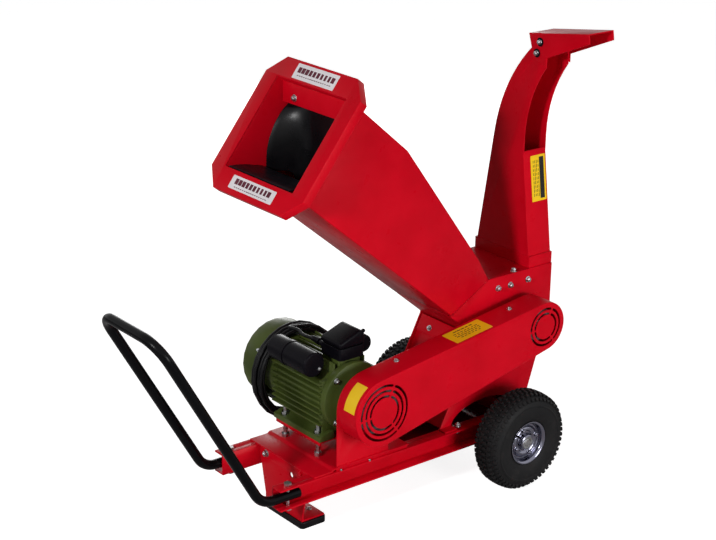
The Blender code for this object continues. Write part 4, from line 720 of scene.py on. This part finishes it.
@dataclass(frozen=True)
class MainsCord:
    """The mains cord: out of the box's gland, wound round the motor's tail, plug down."""

    radius: float = 4.5
    motor: Pair = (-438.0, 317.5)
    pitch: float = 9.8
    layers: int = 4
    turns_per_layer: float = 1.8
    inner_radius: float = 106.0
    drop: float = 13.0
    first_y: float = 138.5
    points_per_turn: int = 24
    tail: float = 96.0
    exit_point: Triple = (-458.0, 0.0, 429.3)
    gap: float = 0.3
    relief_start: float = 24.0
    pin_shift: float = 9.5

    def wound(self, turns: float) -> Vector:
        """Return the cord's centre after so many turns of the winding."""
        per = self.turns_per_layer
        t = min(max(turns, 0.0), per * self.layers)
        layer = min(int(t / per), self.layers - 1)
        within = t / per - layer
        inward = 1 - within if layer % 2 == 0 else within
        radius = self.inner_radius + self.pitch * per * inward
        climb = sum(eased((t - k * per) / 0.5 + 0.5) for k in range(1, self.layers))
        angle = math.radians(90) - 2 * math.pi * t
        return Vector((self.motor[0] + radius * math.cos(angle), self.first_y + self.pitch * climb,
                       self.motor[1] - self.drop + radius * math.sin(angle)))

    def winding(self) -> list[Vector]:
        """Return the winding's points, with its straight start and hanging tail."""
        total = self.turns_per_layer * self.layers
        count = round(total * self.points_per_turn)
        points = [self.wound(total * k / count) for k in range(count + 1)]
        straight = 2 * self.radius
        start = points[0] - (points[1] - points[0]).normalized() * straight
        heading = (points[-1] - points[-2]).normalized()
        tail = [points[-1]]
        steps = 8
        for k in range(steps):
            bent = heading.lerp(Vector(DOWN), 0.5 * k / steps).normalized()
            tail.append(tail[-1] + bent * (self.tail - straight) / steps)
        end = tail[-1] + (tail[-1] - tail[-2]).normalized() * straight
        return [start] + points + tail[1:] + [end]

    def lead(self, coil: Sequence[Vector]) -> list[Vector]:
        """Return the points from the gland to the winding's start.

        Args:
            coil: the winding's points.

        Returns:
            Evenly spread points on a smooth curve.
        """
        ahead = (coil[1] - coil[0]).normalized()
        start = coil[0] - ahead * self.gap
        x, y, z = self.exit_point
        route = [(x, y - 10, z), (x, y + 30, z), (x - 4, y + 54, z + 1), (x - 8, y + 82, z + 1),
                 (x - 4, y + 108, start.z + 4)]
        knots = [*map(Vector, route), start - ahead * 22 + Vector((0, -5, 1.2)), start - ahead * 9, start]
        knots = [knots[0] * 2 - knots[1]] + knots + [knots[-1] * 2 - knots[-2]]
        dense, steps = [], 16
        for a, b, c, d in zip(knots, knots[1:], knots[2:], knots[3:]):
            for k in range(steps):
                t = k / steps
                dense.append(0.5 * (2 * b + (c - a) * t + (2 * a - 5 * b + 4 * c - d) * t * t
                                    + (3 * b - a - 3 * c + d) * t ** 3))
        return dense[::3]

    def build(self) -> None:
        """Make the cord as one curve, its plug and its strain relief."""
        coil = self.winding()
        points = [WORLD @ p for p in self.lead(coil) + coil]
        cord = bar("mains_cord", points, self.radius * MM, 4)
        cord.data.materials.append(SHEATH.material())
        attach(cord, "machine_frame")
        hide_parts("cord_lead", "cord_winding")
        plug = self.plug(coil)
        self.relief()

    def relief(self) -> None:
        """Make the ribbed, tapered strain relief at the gland."""
        ribs = [(5.0, 0.0), (9.5, 0.0)]
        for k in range(6):
            rib, low = 9.2 - 0.55 * k, 5 * k
            ribs += [(rib, 2.0 + low), (rib, 5.0 + low), (rib - 1.1, 5.4 + low), (rib - 1.1, 6.6 + low)]
        ribs += [(5.6, 34.0), (4.7, 35.0)]
        x, y, z = self.exit_point
        dress(settle(lathe("strain_relief", ribs, 32), facing((x, y + self.relief_start, z), FAR)), MOULDED)

    def plug(self, coil: Sequence[Vector]) -> Piece:
        """Make the moulded plug at the cord's end.

        Args:
            coil: the winding's points.

        Returns:
            The plug, in place of its CAD node.
        """
        heading = (coil[-1] - coil[-2]).normalized()
        body = lathe("plug_body", [
            (0, 0), (6.0, 0), (6.6, 1.2), (6.6, 4), (5.9, 5), (7.2, 8), (7.2, 10), (6.6, 11), (8.6, 16),
            (13.4, 23), (17.2, 31), (18, 35), (18, 43), (17.2, 44), (17.2, 46), (18, 47), (18, 50.6),
            (16.8, 52), (0, 52)], 48)
        pin = [(0, 51), (2.4, 51), (2.4, 69.6), (1.7, 71), (0, 71)]
        pins = [moved(lathe(f"plug_pin_{side}", pin, 20), (side * self.pin_shift, 0, 0)) for side in (-1, 1)]
        place = facing(coil[-1] + heading * self.gap, heading, RIGHT)
        plug = dress(settle(body, place), MOULDED, "plug", smooth=40)
        dress(settle(joined("plug_pins", pins), place), ZINC)
        return plug


@dataclass(frozen=True)
class Wheels:
    """Knobbly pneumatic tyres on pressed chrome rims."""

    radius: float = 130.0
    track: float = 213.0
    half_width: float = 42.5
    tread_depth: float = 6.0
    pitches: int = 52
    blocks: tuple[tuple[float, ...], ...] = (
        (-5.5, 2.2, 13.5, 8.6, 0), (7.0, -2.2, 12.0, 8.6, 0.5), (21.5, 0.0, 11.0, 9.6, 0),
        (-20.0, 0.0, 10.5, 9.6, 0.5), (33.5, 0.0, 9.5, 10.0, 0.5), (-33.5, 0.0, 9.5, 10.0, 0))
    block_height: float = 12.0
    crown_fall: Pair = (24.0, 2.4)
    crown_lean: float = 0.012
    shoulder: float = 26.0
    shoulder_fall: float = 27.0
    shoulder_lean: float = 38.0
    lug_circle: float = 34.5
    lug_height: float = 25.2
    valve_place: Triple = (44.2, 0.0, 2.0)
    valve_turn: float = 2.5

    def build(self) -> None:
        """Make both wheels."""
        for side, name in ((-1, "near"), (1, "far")):
            place = facing((0, side * self.track, self.radius), (0, side, 0))
            self.tyre(name, place)
            self.rim(name, place)

    def tyre(self, name: str, place: Matrix) -> None:
        """Make a tyre: its case with side ribs, and its tread blocks.

        Args:
            name: which wheel it is.
            place: the wheel's middle, its axis outwards.
        """
        crown = self.radius - self.tread_depth
        half = [(51.4, 30), (58.2, 32), (60, 35.5), (66, 38), (80, 41.6), (92, 41.9), (97, 41.2), (98.2, 42.3),
                (101, 42.3), (102.2, 40.4), (107, 38.4), (111, 37.3), (116, 33.5), (121, 25), (crown, 14),
                (crown, 5)]
        case = lathe(f"tyre_case_{name}", half + [(a, -b) for a, b in reversed(half)], 96)
        tread = joined(f"tread_{name}", [self.block(*sizes) for sizes in self.blocks])
        with editing(tread):
            bpy.ops.mesh.spin(steps=self.pitches, angle=2 * math.pi, center=(0, 0, 0), axis=UP, dupli=True)
            bpy.ops.mesh.select_all(action="SELECT")
            bpy.ops.mesh.remove_doubles(threshold=0.001)
        whole = joined(f"knobbly_tyre_{name}", [tread, case])
        dress(settle(whole, place), TYRE, f"tyre_{name}", body=f"wheel_{name}", smooth=32)

    def block(self, across: float, skew: float, width: float, length: float, phase: float) -> Piece:
        """Make one tread block standing on the tyre's crown.

        Args:
            across: its place across the tread.
            skew: how far one end is turned round the tyre.
            width: its size across the tread.
            length: its size round the tyre.
            phase: share of a pitch that it is turned by.

        Returns:
            The block.
        """
        bpy.ops.mesh.primitive_cube_add(size=1, location=(0, 0, 0))
        block = bpy.context.object
        block.dimensions = (self.block_height, length, width)
        bpy.ops.object.transform_apply(location=False, rotation=False, scale=True)
        with editing(block, lambda centre, normal: normal.x > 0.9):
            bpy.ops.transform.resize(value=(1, 0.8, 0.84))
        soften(block, 0.8, 1)
        reach, depth = self.crown_fall
        fall, lean = (abs(across) / reach) ** 3 * depth, across * self.crown_lean
        if abs(across) > self.shoulder:
            fall = (abs(across) / self.half_width) ** 4 * self.shoulder_fall
            lean = math.copysign(math.radians(self.shoulder_lean), across)
        turn = Matrix.Rotation(phase * 2 * math.pi / self.pitches, 4, "Z")
        middle = Matrix.Translation((self.radius - fall - self.block_height / 2, skew, across))
        block.matrix_world = turn @ middle @ Matrix.Rotation(-lean, 4, "Y")
        only(block)
        bpy.ops.object.transform_apply(location=True, rotation=True, scale=True)
        return block

    def rim(self, name: str, place: Matrix) -> None:
        """Make a pressed rim with its lip, dish, hub, clamp bolts and valve.

        Args:
            name: which wheel it is.
            place: the wheel's middle, its axis outwards.
        """
        outer = [(50.6, 30.5), (54, 33), (57.5, 35.4), (57.2, 36.8), (55, 36.6), (51.5, 34.5), (49.4, 30),
                 (48.6, 22), (46.5, 19.5), (43, 19.2), (40.5, 21.5), (38, 24.6), (34.5, 25.8), (31, 25),
                 (28.6, 22.4), (26.5, 20.6), (23.5, 20.8), (21.4, 23.4), (20.4, 28), (19.4, 31.6), (17, 33),
                 (11, 33), (10.5, 32)]
        inner = [(10.5, -34), (19, -34), (20, -31), (20, 14), (26, 15.6), (34, 20.8), (38, 20.2), (43, 14.6),
                 (46.6, 14.2), (47.6, 0), (48.4, -28), (52, -34.4), (56.6, -37), (57.5, -35.4), (53.6, -32.5),
                 (50.2, -28), (49.6, 0)]
        dish = lathe(f"pressed_rim_{name}", outer + inner, 96)
        lugs = [moved(Fastener(10.0, 5.0, 13.0, 1.0, 2.0, 2.8).master(f"lug_{name}_{k}"), (*spot, self.lug_height))
                for k, spot in enumerate(bow((0, 0), self.lug_circle, 20, 290, 3))]
        dress(settle(joined(f"pressed_rim_{name}", lugs + [dish]), place), CHROME, f"rim_{name}",
              body=f"wheel_{name}", smooth=38)
        valve = lathe(f"valve_{name}", [(0, 12), (3.2, 12), (3.2, 26), (2.7, 27), (2.7, 33), (3.1, 33.4),
                                        (3.1, 38), (2.4, 39), (0, 39)], 20)
        place = place @ Matrix.Rotation(self.valve_turn, 4, "Z")
        dress(settle(moved(valve, self.valve_place), place), RUBBER, body=f"wheel_{name}")


@dataclass(frozen=True)
class BeltGuard:
    """The belt guard's cover, with round vent slots, screws and labels."""

    big: Pair = (-438.0, 317.5)
    small: Pair = (83.0, 412.0)
    big_radius: float = 86.0
    small_radius: float = 65.0
    face: float = -204.0
    depth: float = 71.7
    wall: float = 2.5
    slot: float = 6.2
    bridge: float = 10.0
    bridge_angle: float = 66.0
    cut_start: float = -5.0
    cut_depth: float = 14.0
    edge: float = 1.6
    big_vents: tuple[float, ...] = (69.0, 55.5, 42.0)
    small_vents: tuple[float, ...] = (48.5, 35.5)
    screws: tuple[Pair, ...] = ((88.0, -153.0), (452.6, -157.0))
    print_rows: PrintRows = ((19.0, 3.4, 64.0, 5), (9.0, 2.4, 80.0, 7), (1.5, 2.4, 84.0, 8),
                             (-6.0, 2.4, 80.0, 7), (-13.5, 2.4, 66.0, 6))
    label_along: float = 303.5
    label_y: float = -167.5
    lift: float = 0.05
    strip: Triple = (0.4, 19.5, 50.0)
    strip_turn: float = 171.0
    strip_y: float = -175.0

    def angles(self) -> Pair:
        """Return the drive line's tilt and the lean of its tangents, in degrees."""
        dx, dz = self.small[0] - self.big[0], self.small[1] - self.big[1]
        lean = math.acos((self.big_radius - self.small_radius) / math.hypot(dx, dz))
        return math.degrees(math.atan2(dz, dx)), math.degrees(lean)

    def outline(self, shrink: float) -> list[Pair]:
        """Return the cover's outline, shrunk by a wall."""
        tilt, lean = self.angles()
        return (bow(self.big, self.big_radius - shrink, tilt + lean, tilt + 360 - lean, 64)
                + bow(self.small, self.small_radius - shrink, tilt - lean, tilt + lean, 48))

    def sloping_top(self) -> tuple[Vector, Vector, Vector]:
        """Return the sloping top's start, the way along it and the way out of it."""
        turn = math.radians(sum(self.angles()))
        out = Vector((math.cos(turn), 0, math.sin(turn)))
        return Vector((self.big[0], 0, self.big[1])) + out * self.big_radius, Vector((out.z, 0, -out.x)), out

    def build(self) -> None:
        """Make the cover, its screws and its labels."""
        cover = plate("belt_guard_cover", self.outline(0), self.depth)
        with editing(cover, lambda centre, normal: normal.z < -0.9):
            bpy.ops.mesh.bevel(offset=self.edge, segments=3, affect="EDGES")
        hollow = plate("hollow", self.outline(self.wall), self.depth)
        hollow.location.z = self.wall
        cutters = [hollow]
        for centre, radii in ((self.big, self.big_vents), (self.small, self.small_vents)):
            cutters += [self.vent(centre, radius, k) for radius in radii for k in range(3)]
        carve(cover, *cutters)
        dress(settle(cover, upright(self.face)), RED, "belt_guard", smooth=30)
        self.labels()
        start, along, out = self.sloping_top()
        tops = [start + along * far + Vector((0, y, 0)) for far, y in self.screws]
        Fastener(8, 4, 14, 1.2).group("guard_screws", [facing(top, out, FAR) for top in tops])

    def vent(self, centre: Pair, radius: float, third: int) -> Piece:
        """Return the cutter of one round slot.

        Args:
            centre: the slot's centre.
            radius: its middle radius.
            third: which third of the circle it is in.

        Returns:
            The cutter, with round ends.
        """
        gap = math.degrees(self.bridge / radius) / 2
        low, high = self.bridge_angle + 120 * third + gap, self.bridge_angle + 120 * (third + 1) - gap
        half = self.slot / 2
        ends = [bow(centre, radius, turn, turn, 1)[0] for turn in (low, high)]
        shape = (bow(centre, radius + half, low, high, 28) + bow(ends[1], half, high, high + 180, 6)[1:-1]
                 + bow(centre, radius - half, high, low, 28) + bow(ends[0], half, low + 180, low + 360, 6)[1:-1])
        cutter = plate("slot_cutter", shape, self.cut_depth)
        cutter.location.z = self.cut_start
        return cutter

    def labels(self) -> None:
        """Stick the labels: one with blocks on the sloping top, a bare one round the big end."""
        start, along, out = self.sloping_top()
        middle = start + along * self.label_along + out * self.lift + Vector((0, self.label_y, 0))
        Label(117, 59, self.print_rows).stick("guard_top_label", facing(middle, out, FAR), YELLOW_VINYL)
        wall, half, sweep = self.strip
        low, high = self.big_radius + self.lift, self.big_radius + wall
        profile = [(low, 0.0, -half), (high, 0.0, -half), (high, 0.0, half), (low, 0.0, half)]
        strip = laid("guard_end_label", profile, filled=True)
        with editing(strip):
            bpy.ops.mesh.spin(steps=30, angle=math.radians(sweep), center=(0, 0, 0), axis=UP)
            bpy.ops.mesh.select_all(action="SELECT")
            bpy.ops.mesh.normals_make_consistent(inside=False)
        turn = Matrix.Rotation(math.radians(self.strip_turn), 4, "Z")
        dress(settle(strip, facing((self.big[0], self.strip_y, self.big[1]), NEAR) @ turn), YELLOW_VINYL)


@dataclass(frozen=True)
class Label:
    """A vinyl label with rounded corners, plain blocks in rows for its print, and a dark band if it has one."""

    width: float
    height: float
    rows: PrintRows
    corner: float = 2.5
    wall: float = 0.35
    lift: float = 0.05
    ink_wall: float = 0.2
    margin: float = 6.0
    band: float = 0.0
    ink: Finish = DARK_VINYL

    def stick(self, name: str, place: Matrix, finish: Finish) -> None:
        """Make the label and lay it on its surface.

        Args:
            name: the label's name.
            place: its middle, its face outwards.
            finish: its vinyl.
        """
        sheet = plate(name, panel(self.width, self.height, self.corner), self.wall, 0.12, 1)
        dress(settle(sheet, place @ Matrix.Translation((0, 0, self.lift))), finish)
        top = place @ Matrix.Translation((0, 0, self.lift + self.wall))
        if self.band:
            band = plate(name + "_band", panel(self.band, self.height - 2 * self.margin, 0.6), self.ink_wall)
            shift = Matrix.Translation((self.width / 2 - self.margin - self.band / 2, 0, 0))
            dress(settle(band, top @ shift), DARK_VINYL)
        dress(self.blocks(name + "_marks", top), self.ink)

    def blocks(self, name: str, top: Matrix) -> Piece:
        """Make the plain blocks that stand for lines of print, along the label's longer side.

        Args:
            name: the blocks' name.
            top: the place of the label's face.

        Returns:
            The blocks, joined.
        """
        turn = Matrix.Rotation(math.pi / 2 if self.height > self.width else 0.0, 4, "Z")
        made = []
        for row, (up, tall, wide, count) in enumerate(self.rows):
            step = wide / count
            for k in range(count):
                size = step * (0.86 - 0.14 * ((3 * k + k // 3 + row) % 3))
                block = plate(f"{name}_{row}_{k}", panel(size, tall, 0.3, 1), self.ink_wall)
                made.append(settle(block, top @ turn @ Matrix.Translation(((k + 0.5) * step - wide / 2, up, 0))))
        return joined(name, made)


@dataclass(frozen=True)
class Hopper:
    """The feed hopper: duct, mouth frame, curtain, lower flap, bolts and labels."""

    mouth_top: Pair = (-477.0, 1120.0)
    tilt: float = 37.6
    curtain_pin: Pair = (-463.6, 1014.69)
    curtain_length: float = 215.0
    curtain_half: float = 122.0
    curl: float = 78.0
    curl_drop: float = 123.0
    corner_cut: float = 55.0
    curl_start: float = 0.42
    curl_span: float = 0.58
    wave: float = 7.0
    curtain_wall: float = 4.0
    strip_x: float = -496.5
    strip_low: float = 1018.0
    strip_size: Triple = (242.0, 50.0, 2.5)
    strip_bolts: tuple[float, ...] = (-107.0, 76.0)
    strip_bolt_height: float = 1034.0
    flap: tuple[Pair, ...] = (
        (-656.0, 888.5), (-634.0, 887.0), (-600.0, 881.5), (-572.0, 875.0), (-560.0, 871.2))
    flap_wall: float = 3.0
    flap_half: float = 118.0
    labels: tuple[tuple[str, float, float, Pair], ...] = (
        ("mouth_label_top", 155.0, 39.0, (-2.5, -26.5)), ("mouth_label_bottom", 167.0, 33.0, (0.5, -323.5)))
    print_rows: PrintRows = ((3.5, 14.0, 138.0, 10), (-10.5, 1.8, 128.0, 16))

    def mouth(self) -> Matrix:
        """Return the mouth face's place: across, up the face, and out of it."""
        tilt = math.radians(self.tilt)
        down = Vector((-math.sin(tilt), 0, -math.cos(tilt)))
        out = Vector((-math.cos(tilt), 0, math.sin(tilt)))
        turn = Matrix((Vector((0, -1, 0)), -down, out)).transposed().to_4x4()
        turn.translation = Vector((self.mouth_top[0], 0, self.mouth_top[1]))
        return turn

    def build(self) -> None:
        """Make every piece of the hopper."""
        refined("hopper", "hopper_duct", 1.2, flat=False)
        refined("hopper_frame", "hopper_mouth", 1.8, 3)
        refined("curtain_bar", "curtain_holder", 0.8)
        for name, width, height, spot in self.labels:
            place = self.mouth() @ Matrix.Translation((*spot, 0))
            Label(width, height, self.print_rows, ink=MAROON_INK).stick(name, place, WHITE_VINYL)
        self.fittings()
        self.curtain()

    def fittings(self) -> None:
        """Make the cross strip in front of the curtain, its bolts and the rubber flap at the lower edge."""
        width, height, wall = self.strip_size
        strip = plate("hopper_strip", panel(width, height, 2), wall, 0.5)
        dress(settle(strip, facing((self.strip_x, 0, self.strip_low + height / 2), LEFT)), RED)
        heads = [facing((self.strip_x - wall, y, self.strip_bolt_height), LEFT) for y in self.strip_bolts]
        Fastener(10, 5, 18, 1.4, 2, 3.2).group("strip_bolts", heads)
        under = [(x, z - self.flap_wall) for x, z in reversed(self.flap)]
        flap = plate("hopper_flap", [*self.flap, *under], 2 * self.flap_half, 0.5)
        dress(settle(flap, upright(-self.flap_half)), MOULDED)

    def curtain(self) -> None:
        """Make the hanging rubber curtain, its far edge curled towards the mouth and cut short below."""
        bpy.ops.mesh.primitive_grid_add(x_subdivisions=36, y_subdivisions=30, size=1)
        sheet = bpy.context.object
        sheet.name = sheet.data.name = "rubber_curtain"
        x, z = self.curtain_pin
        for vertex in sheet.data.vertices:
            across, down = vertex.co.x * 2, 0.5 - vertex.co.y
            edge = min(max((across - self.curl_start) / self.curl_span, 0.0), 1.0) ** 1.6
            drop = down * (self.curtain_length - self.corner_cut * eased((edge - 0.15) / 0.25))
            wave = self.wave * down ** 1.6 * math.sin(across * 4.2 + 0.5)
            curl = self.curl * edge * math.sin(math.pi / 2 * min(drop / self.curl_drop, 1.0)) ** 0.55
            vertex.co = (x + wave - curl, across * self.curtain_half, z - drop)
        modify(sheet, "SOLIDIFY", thickness=self.curtain_wall, offset=0.0)
        soften(sheet, 0.7, 2, 50)
        dress(settle(sheet), RUBBER, "curtain", body="feed_curtain", smooth=50)


@dataclass(frozen=True)
class Chute:
    """The discharge chute and its deflector, with bolts and a label."""

    pivot: Pair = (-95.0, 1092.0)
    clamp: Pair = (-104.5, 1121.0)
    cheeks: Pair = (195.4, 111.6)
    rod: float = 4.9
    rod_x: float = 111.5
    rod_length: float = 84.0
    ring: float = 1.4
    front: tuple[Triple, Triple] = ((0.0, -101.0, 533.0), (0.0, -61.0, 822.0))
    label_height: float = 757.5
    label_x: float = 163.5

    def build(self) -> None:
        """Make the chute's dressed pieces."""
        refined("chute", "chute_duct", 1.4, 3)
        refined("deflector", "chute_deflector", 1.2, 3, body="chip_deflector")
        low, high = (Vector(corner) for corner in self.front)
        out = Vector((0, low.z - high.z, high.y - low.y)).normalized()
        middle = low.lerp(high, (self.label_height - low.z) / (high.z - low.z)) + Vector((self.label_x, 0, 0))
        rows = tuple((away, 1.6, 96.0, 9) for away in (0.0, 5.5, 11.0, 16.5))
        Label(50, 119, rows, band=15.0).stick("chute_label", facing(middle + out * 0.1, out), YELLOW_VINYL)
        self.bolt("pivot", self.pivot, "machine_frame")
        self.bolt("clamp", self.clamp, "chip_deflector")
        end = self.rod_length
        rod = lathe("deflector_rod", [(0, 0), (self.rod, 0), (self.rod, end), (0, end)], 32)
        dress(settle(rod, facing((self.rod_x, *self.pivot), RIGHT)), ZINC, "deflector_bolt")

    def bolt(self, name: str, centre: Pair, body: str) -> None:
        """Make a bolt through both cheeks of the deflector, with dark washers.

        Args:
            name: the bolt's name.
            centre: its place across and up, in mm.
            body: the CAD body that it rides on.
        """
        sides = [facing((x, *centre), out) for x, out in zip(self.cheeks, (RIGHT, LEFT))]
        ring = [(4, 0), (10.6, 0), (11, 0.5), (11, 1.0), (10.6, self.ring), (4, self.ring)]
        rings = [settle(lathe(f"{name}_ring_{k}", ring, 32), side) for k, side in enumerate(sides)]
        dress(joined(f"{name}_washers", rings), MOULDED, body=body)
        heads = [side @ Matrix.Translation((0, 0, self.ring)) for side in sides]
        Fastener(10, 5, 12, 1.0, 2, 3.2).group(f"{name}_screws", heads, body)


@dataclass(frozen=True)
class Motor:
    """The electric motor: ribbed case, bell, fan cover, boxes and capacitor."""

    axis: Pair = (-438.0, 317.5)
    capacitor: Triple = (-536.0, 414.0, 31.0)
    cap_place: Triple = (-385.0, -20.0, 433.0)
    knob_place: Triple = (-402.0, -66.0, 474.0)
    knob_out: Triple = (0.5, -1.0, 0.3)
    bell_bolts: tuple[float, ...] = (45, 135, 225, 315)
    bell_circle: float = 77.0
    bell_y: float = -86.5
    cover_screws: tuple[float, ...] = (30, 150, 210, 330)
    cover_circle: float = 102.0
    cover_y: float = 188.0

    def build(self) -> None:
        """Make the motor's dressed pieces."""
        for node, name, edge, segments, finish in (
                ("motor_housing", "motor_case", 0.7, 2, GREEN), ("motor_end_bell", "motor_bell", 1.2, 2, GREEN),
                ("fan_cover", "motor_fan_cover", 1.0, 2, GREEN), ("terminal_box", "wiring_box", 1.6, 3, MOULDED),
                ("terminal_lid", "wiring_lid", 5.5, 4, MOULDED), ("capacitor", "capacitor_can", 2.4, 4, MOULDED)):
            refined(node, name, edge, segments, finish)
        self.fittings()

    def fittings(self) -> None:
        """Make the box's blanking cap and knob, the capacitor's screw and strap, and the motor's bolts."""
        cap = lathe("blanking_cap", [(0, 0), (19, 0), (19, 10), (22, 11), (22, 35), (20, 38), (17, 39),
                                     (15.5, 37.6), (0, 37.6)], 40)
        dress(settle(cap, facing(self.cap_place, NEAR)), MOULDED)
        knob = lathe("lid_knob", [(0, -4), (2.4, -4), (2.4, 1), *bow((0, 5), 5.0, -60, 90, 8)[:-1], (0, 10)], 24)
        dress(settle(knob, facing(self.knob_place, self.knob_out)), MOULDED, smooth=60)
        x, z, r = self.capacitor
        strap = lathe("capacitor_strap", [(r + 0.3, -6), (r + 1.4, -6), (r + 1.4, 6), (r + 0.3, 6)], 48)
        dress(settle(strap, facing((x, 40.0, z), NEAR)), MOULDED)
        small = Fastener(6, 3, 9, 0.8, 0, 2)
        small.group("capacitor_screw", [facing((x + 15, -56.0, z - 13), NEAR)])
        bolts = self.around(self.bell_bolts, self.bell_circle, self.bell_y)
        Fastener(10, 6, 16, 1.4, 2, 3.2).group("bell_bolts", [facing(place, NEAR) for place, _ in bolts])
        screws = self.around(self.cover_screws, self.cover_circle, self.cover_y)
        small.group("cover_screws", [facing(place, out, FAR) for place, out in screws])

    def around(self, angles: Sequence[float], radius: float, y: float) -> list[tuple[Triple, Triple]]:
        """Return points at angles round the motor's axis, each with the way out from it."""
        ways = [(math.cos(math.radians(a)), math.sin(math.radians(a))) for a in angles]
        return [((self.axis[0] + radius * c, y, self.axis[1] + radius * s), (c, 0, s)) for c, s in ways]


@dataclass(frozen=True)
class Undercarriage:
    """Rails, leg, platform, stand, handle and their bolts."""

    handle_radius: float = 12.5
    handle_half: float = 120.0
    handle_line: tuple[Pair, ...] = ((-629.0, 133.5), (-737.0, 133.5), (-1010.0, 604.0))
    bend: float = 58.0
    # The sheet of painted shade under the rotor: its back end, its fold, its low and high heights and its wall, in
    # mm.
    shaded_sheet_line: tuple[float, ...] = (-326.0, 97.0, 111.5, 292.0, 2.5)
    shaded_sheet_fold: float = 6.0
    shaded_sheet_half: float = 101.6
    stand_bolts: tuple[float, ...] = (-129.0, 121.0, 165.3, 157.0)
    leg_bolts: tuple[float, ...] = (-585.0, 72.0, 147.0, 149.0)
    pad_bolts: Triple = (-536.0, 39.0, 23.3)
    rail_screws: tuple[Triple, ...] = ((-513.0, -134.9, 161.0), (-425.0, -134.9, 161.0))
    throat_bolts: Triple = (-78.1, 55.6, 363.0)
    throat_slope: Triple = (-0.894, 0.0, 0.447)
    flange_bolts: tuple[Triple, ...] = ((6.0, -105.0, 503.5), (48.0, -105.0, 503.5), (109.0, -105.0, 505.5))
    shelf_bolt: Triple = (68.0, -95.0, 533.0)

    def build(self) -> None:
        """Make the undercarriage's dressed pieces."""
        for node, name, edge in (("rail_near", "rail_left", 1.5), ("rail_far", "rail_right", 1.5),
                                 ("rear_crossbar", "crossbar", 1.5), ("front_leg", "folded_leg", 1.5),
                                 ("motor_platform", "motor_shelf", 1.3), ("motor_plate", "motor_seat", 1.2),
                                 ("stand_near", "stand_left", 1.3), ("stand_far", "stand_right", 1.3),
                                 ("stand_front", "stand_face", 1.3), ("throat_plate", "throat_cover", 1.2),
                                 ("rotor_housing", "rotor_case", 1.5), ("guard_plate", "guard_backing", 1.0)):
            refined(node, name, edge)
        refined("leg_pad", "rubber_foot", 2.0, 3, RUBBER)
        self.handle()
        self.tray()
        self.bolts()

    def tray(self) -> None:
        """Make a dark folded sheet under the rotor, flat between the rails and up behind the stand's arches:
        painted shade for the gaps under the machine, where there is only shadow.
        """
        x0, x1, z0, z1, wall = self.shaded_sheet_line
        r = self.shaded_sheet_fold
        fold = bow((x1 - r, z0 + r), r, -90, 0, 5) + bow((x1 - r, z0 + r), r - wall, 0, -90, 5)
        outline = [(x0, z0), *fold[:6], (x1, z1), (x1 - wall, z1), *fold[6:], (x0, z0 + wall)]
        sheet = plate("painted_shade_sheet", outline, 2 * self.shaded_sheet_half, 0.5)
        dress(settle(sheet, upright(-self.shaded_sheet_half)), RED_SHADE_PAINT)

    def handle(self) -> None:
        """Make the bent tube handle."""
        corners = [Vector((x, -self.handle_half, z)) for x, z in self.handle_line]
        corners += [Vector((x, self.handle_half, z)) for x, z in reversed(self.handle_line)]
        path = [corners[0]]
        steps = 12
        for before, corner, after in zip(corners, corners[1:], corners[2:]):
            back, on = (before - corner).normalized(), (after - corner).normalized()
            half = back.angle(on) / 2
            sweep = math.pi - 2 * half
            reach = self.bend / math.tan(half)
            centre = corner + (back + on).normalized() * (self.bend / math.sin(half))
            first, last = corner + back * reach - centre, corner + on * reach - centre
            for k in range(steps + 1):
                shares = math.sin(sweep * (1 - k / steps)), math.sin(sweep * k / steps)
                path.append(centre + (first * shares[0] + last * shares[1]) / math.sin(sweep))
        path.append(corners[-1])
        bar("push_handle", path, self.handle_radius, 8)
        bpy.ops.object.convert(target="MESH")
        tube = bpy.context.object
        soften(tube, 1.2, 2, 60)
        dress(settle(tube), BLACK, "handle", smooth=50)

    def bolts(self) -> None:
        """Make the bolts on rails, leg, stand and housing."""
        x, y, over, under = self.stand_bolts
        places = [facing((x, side, z), out, FAR) for z, out in ((over, UP), (under, DOWN)) for side in (-y, y)]
        Fastener(12, 6, 19, 1.6, 4, 3.6).group("stand_bolts", places)
        x, y, bolt, screw = self.leg_bolts
        Fastener(13, 7, 20, 1.6, 3, 4).group("leg_bolt", [facing((x, y, bolt), LEFT)])
        Fastener(10, 4, 16, 1.4).group("leg_screw", [facing((x, -y, screw), LEFT)], finish=RED)
        x, y, z = self.pad_bolts
        Fastener(8, 4, 12, 1.0, 1, 2.6).group("pad_bolts", [facing((x, side, z), UP, FAR) for side in (-y, y)])
        Fastener(5, 3.4, 5.6, 0.7).group("rail_screws", [facing(place, UP, FAR) for place in self.rail_screws])
        x, y, z = self.throat_bolts
        throat = [facing((x, side, z), self.throat_slope) for side in (-y, y)]
        Fastener(9, 4.5, 15, 1.2, 2, 3).group("throat_bolts", throat)
        flange = [facing(place, NEAR) for place in self.flange_bolts] + [facing(self.shelf_bolt, UP, FAR)]
        Fastener(11, 6, 16.5, 1.5, 2, 3.4).group("housing_bolts", flange)


def carry_over() -> None:
    """Give every CAD node its procedural finish."""
    for name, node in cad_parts.items():
        for entry in node.material_slots:
            key = entry.material.name.split(".")[0]
            entry.material = CAD_FINISHES.get(key, RED).material()
        LOG.info("%s keeps its solid", name)


def main() -> None:
    """Build the camera, the cord, the sub-assemblies and the studio, and report each."""
    logging.basicConfig(level=logging.INFO, format="%(name)s %(message)s")
    bpy.context.scene.view_settings.view_transform = "Standard"
    Camera().build()
    MainsCord().build()
    carry_over()
    for assembly in (Wheels(), BeltGuard(), Hopper(), Chute(), Motor(), Undercarriage(), Studio()):
        assembly.build()
        LOG.info("%s is built", type(assembly).__name__)


if __name__ == "__main__":
    main()
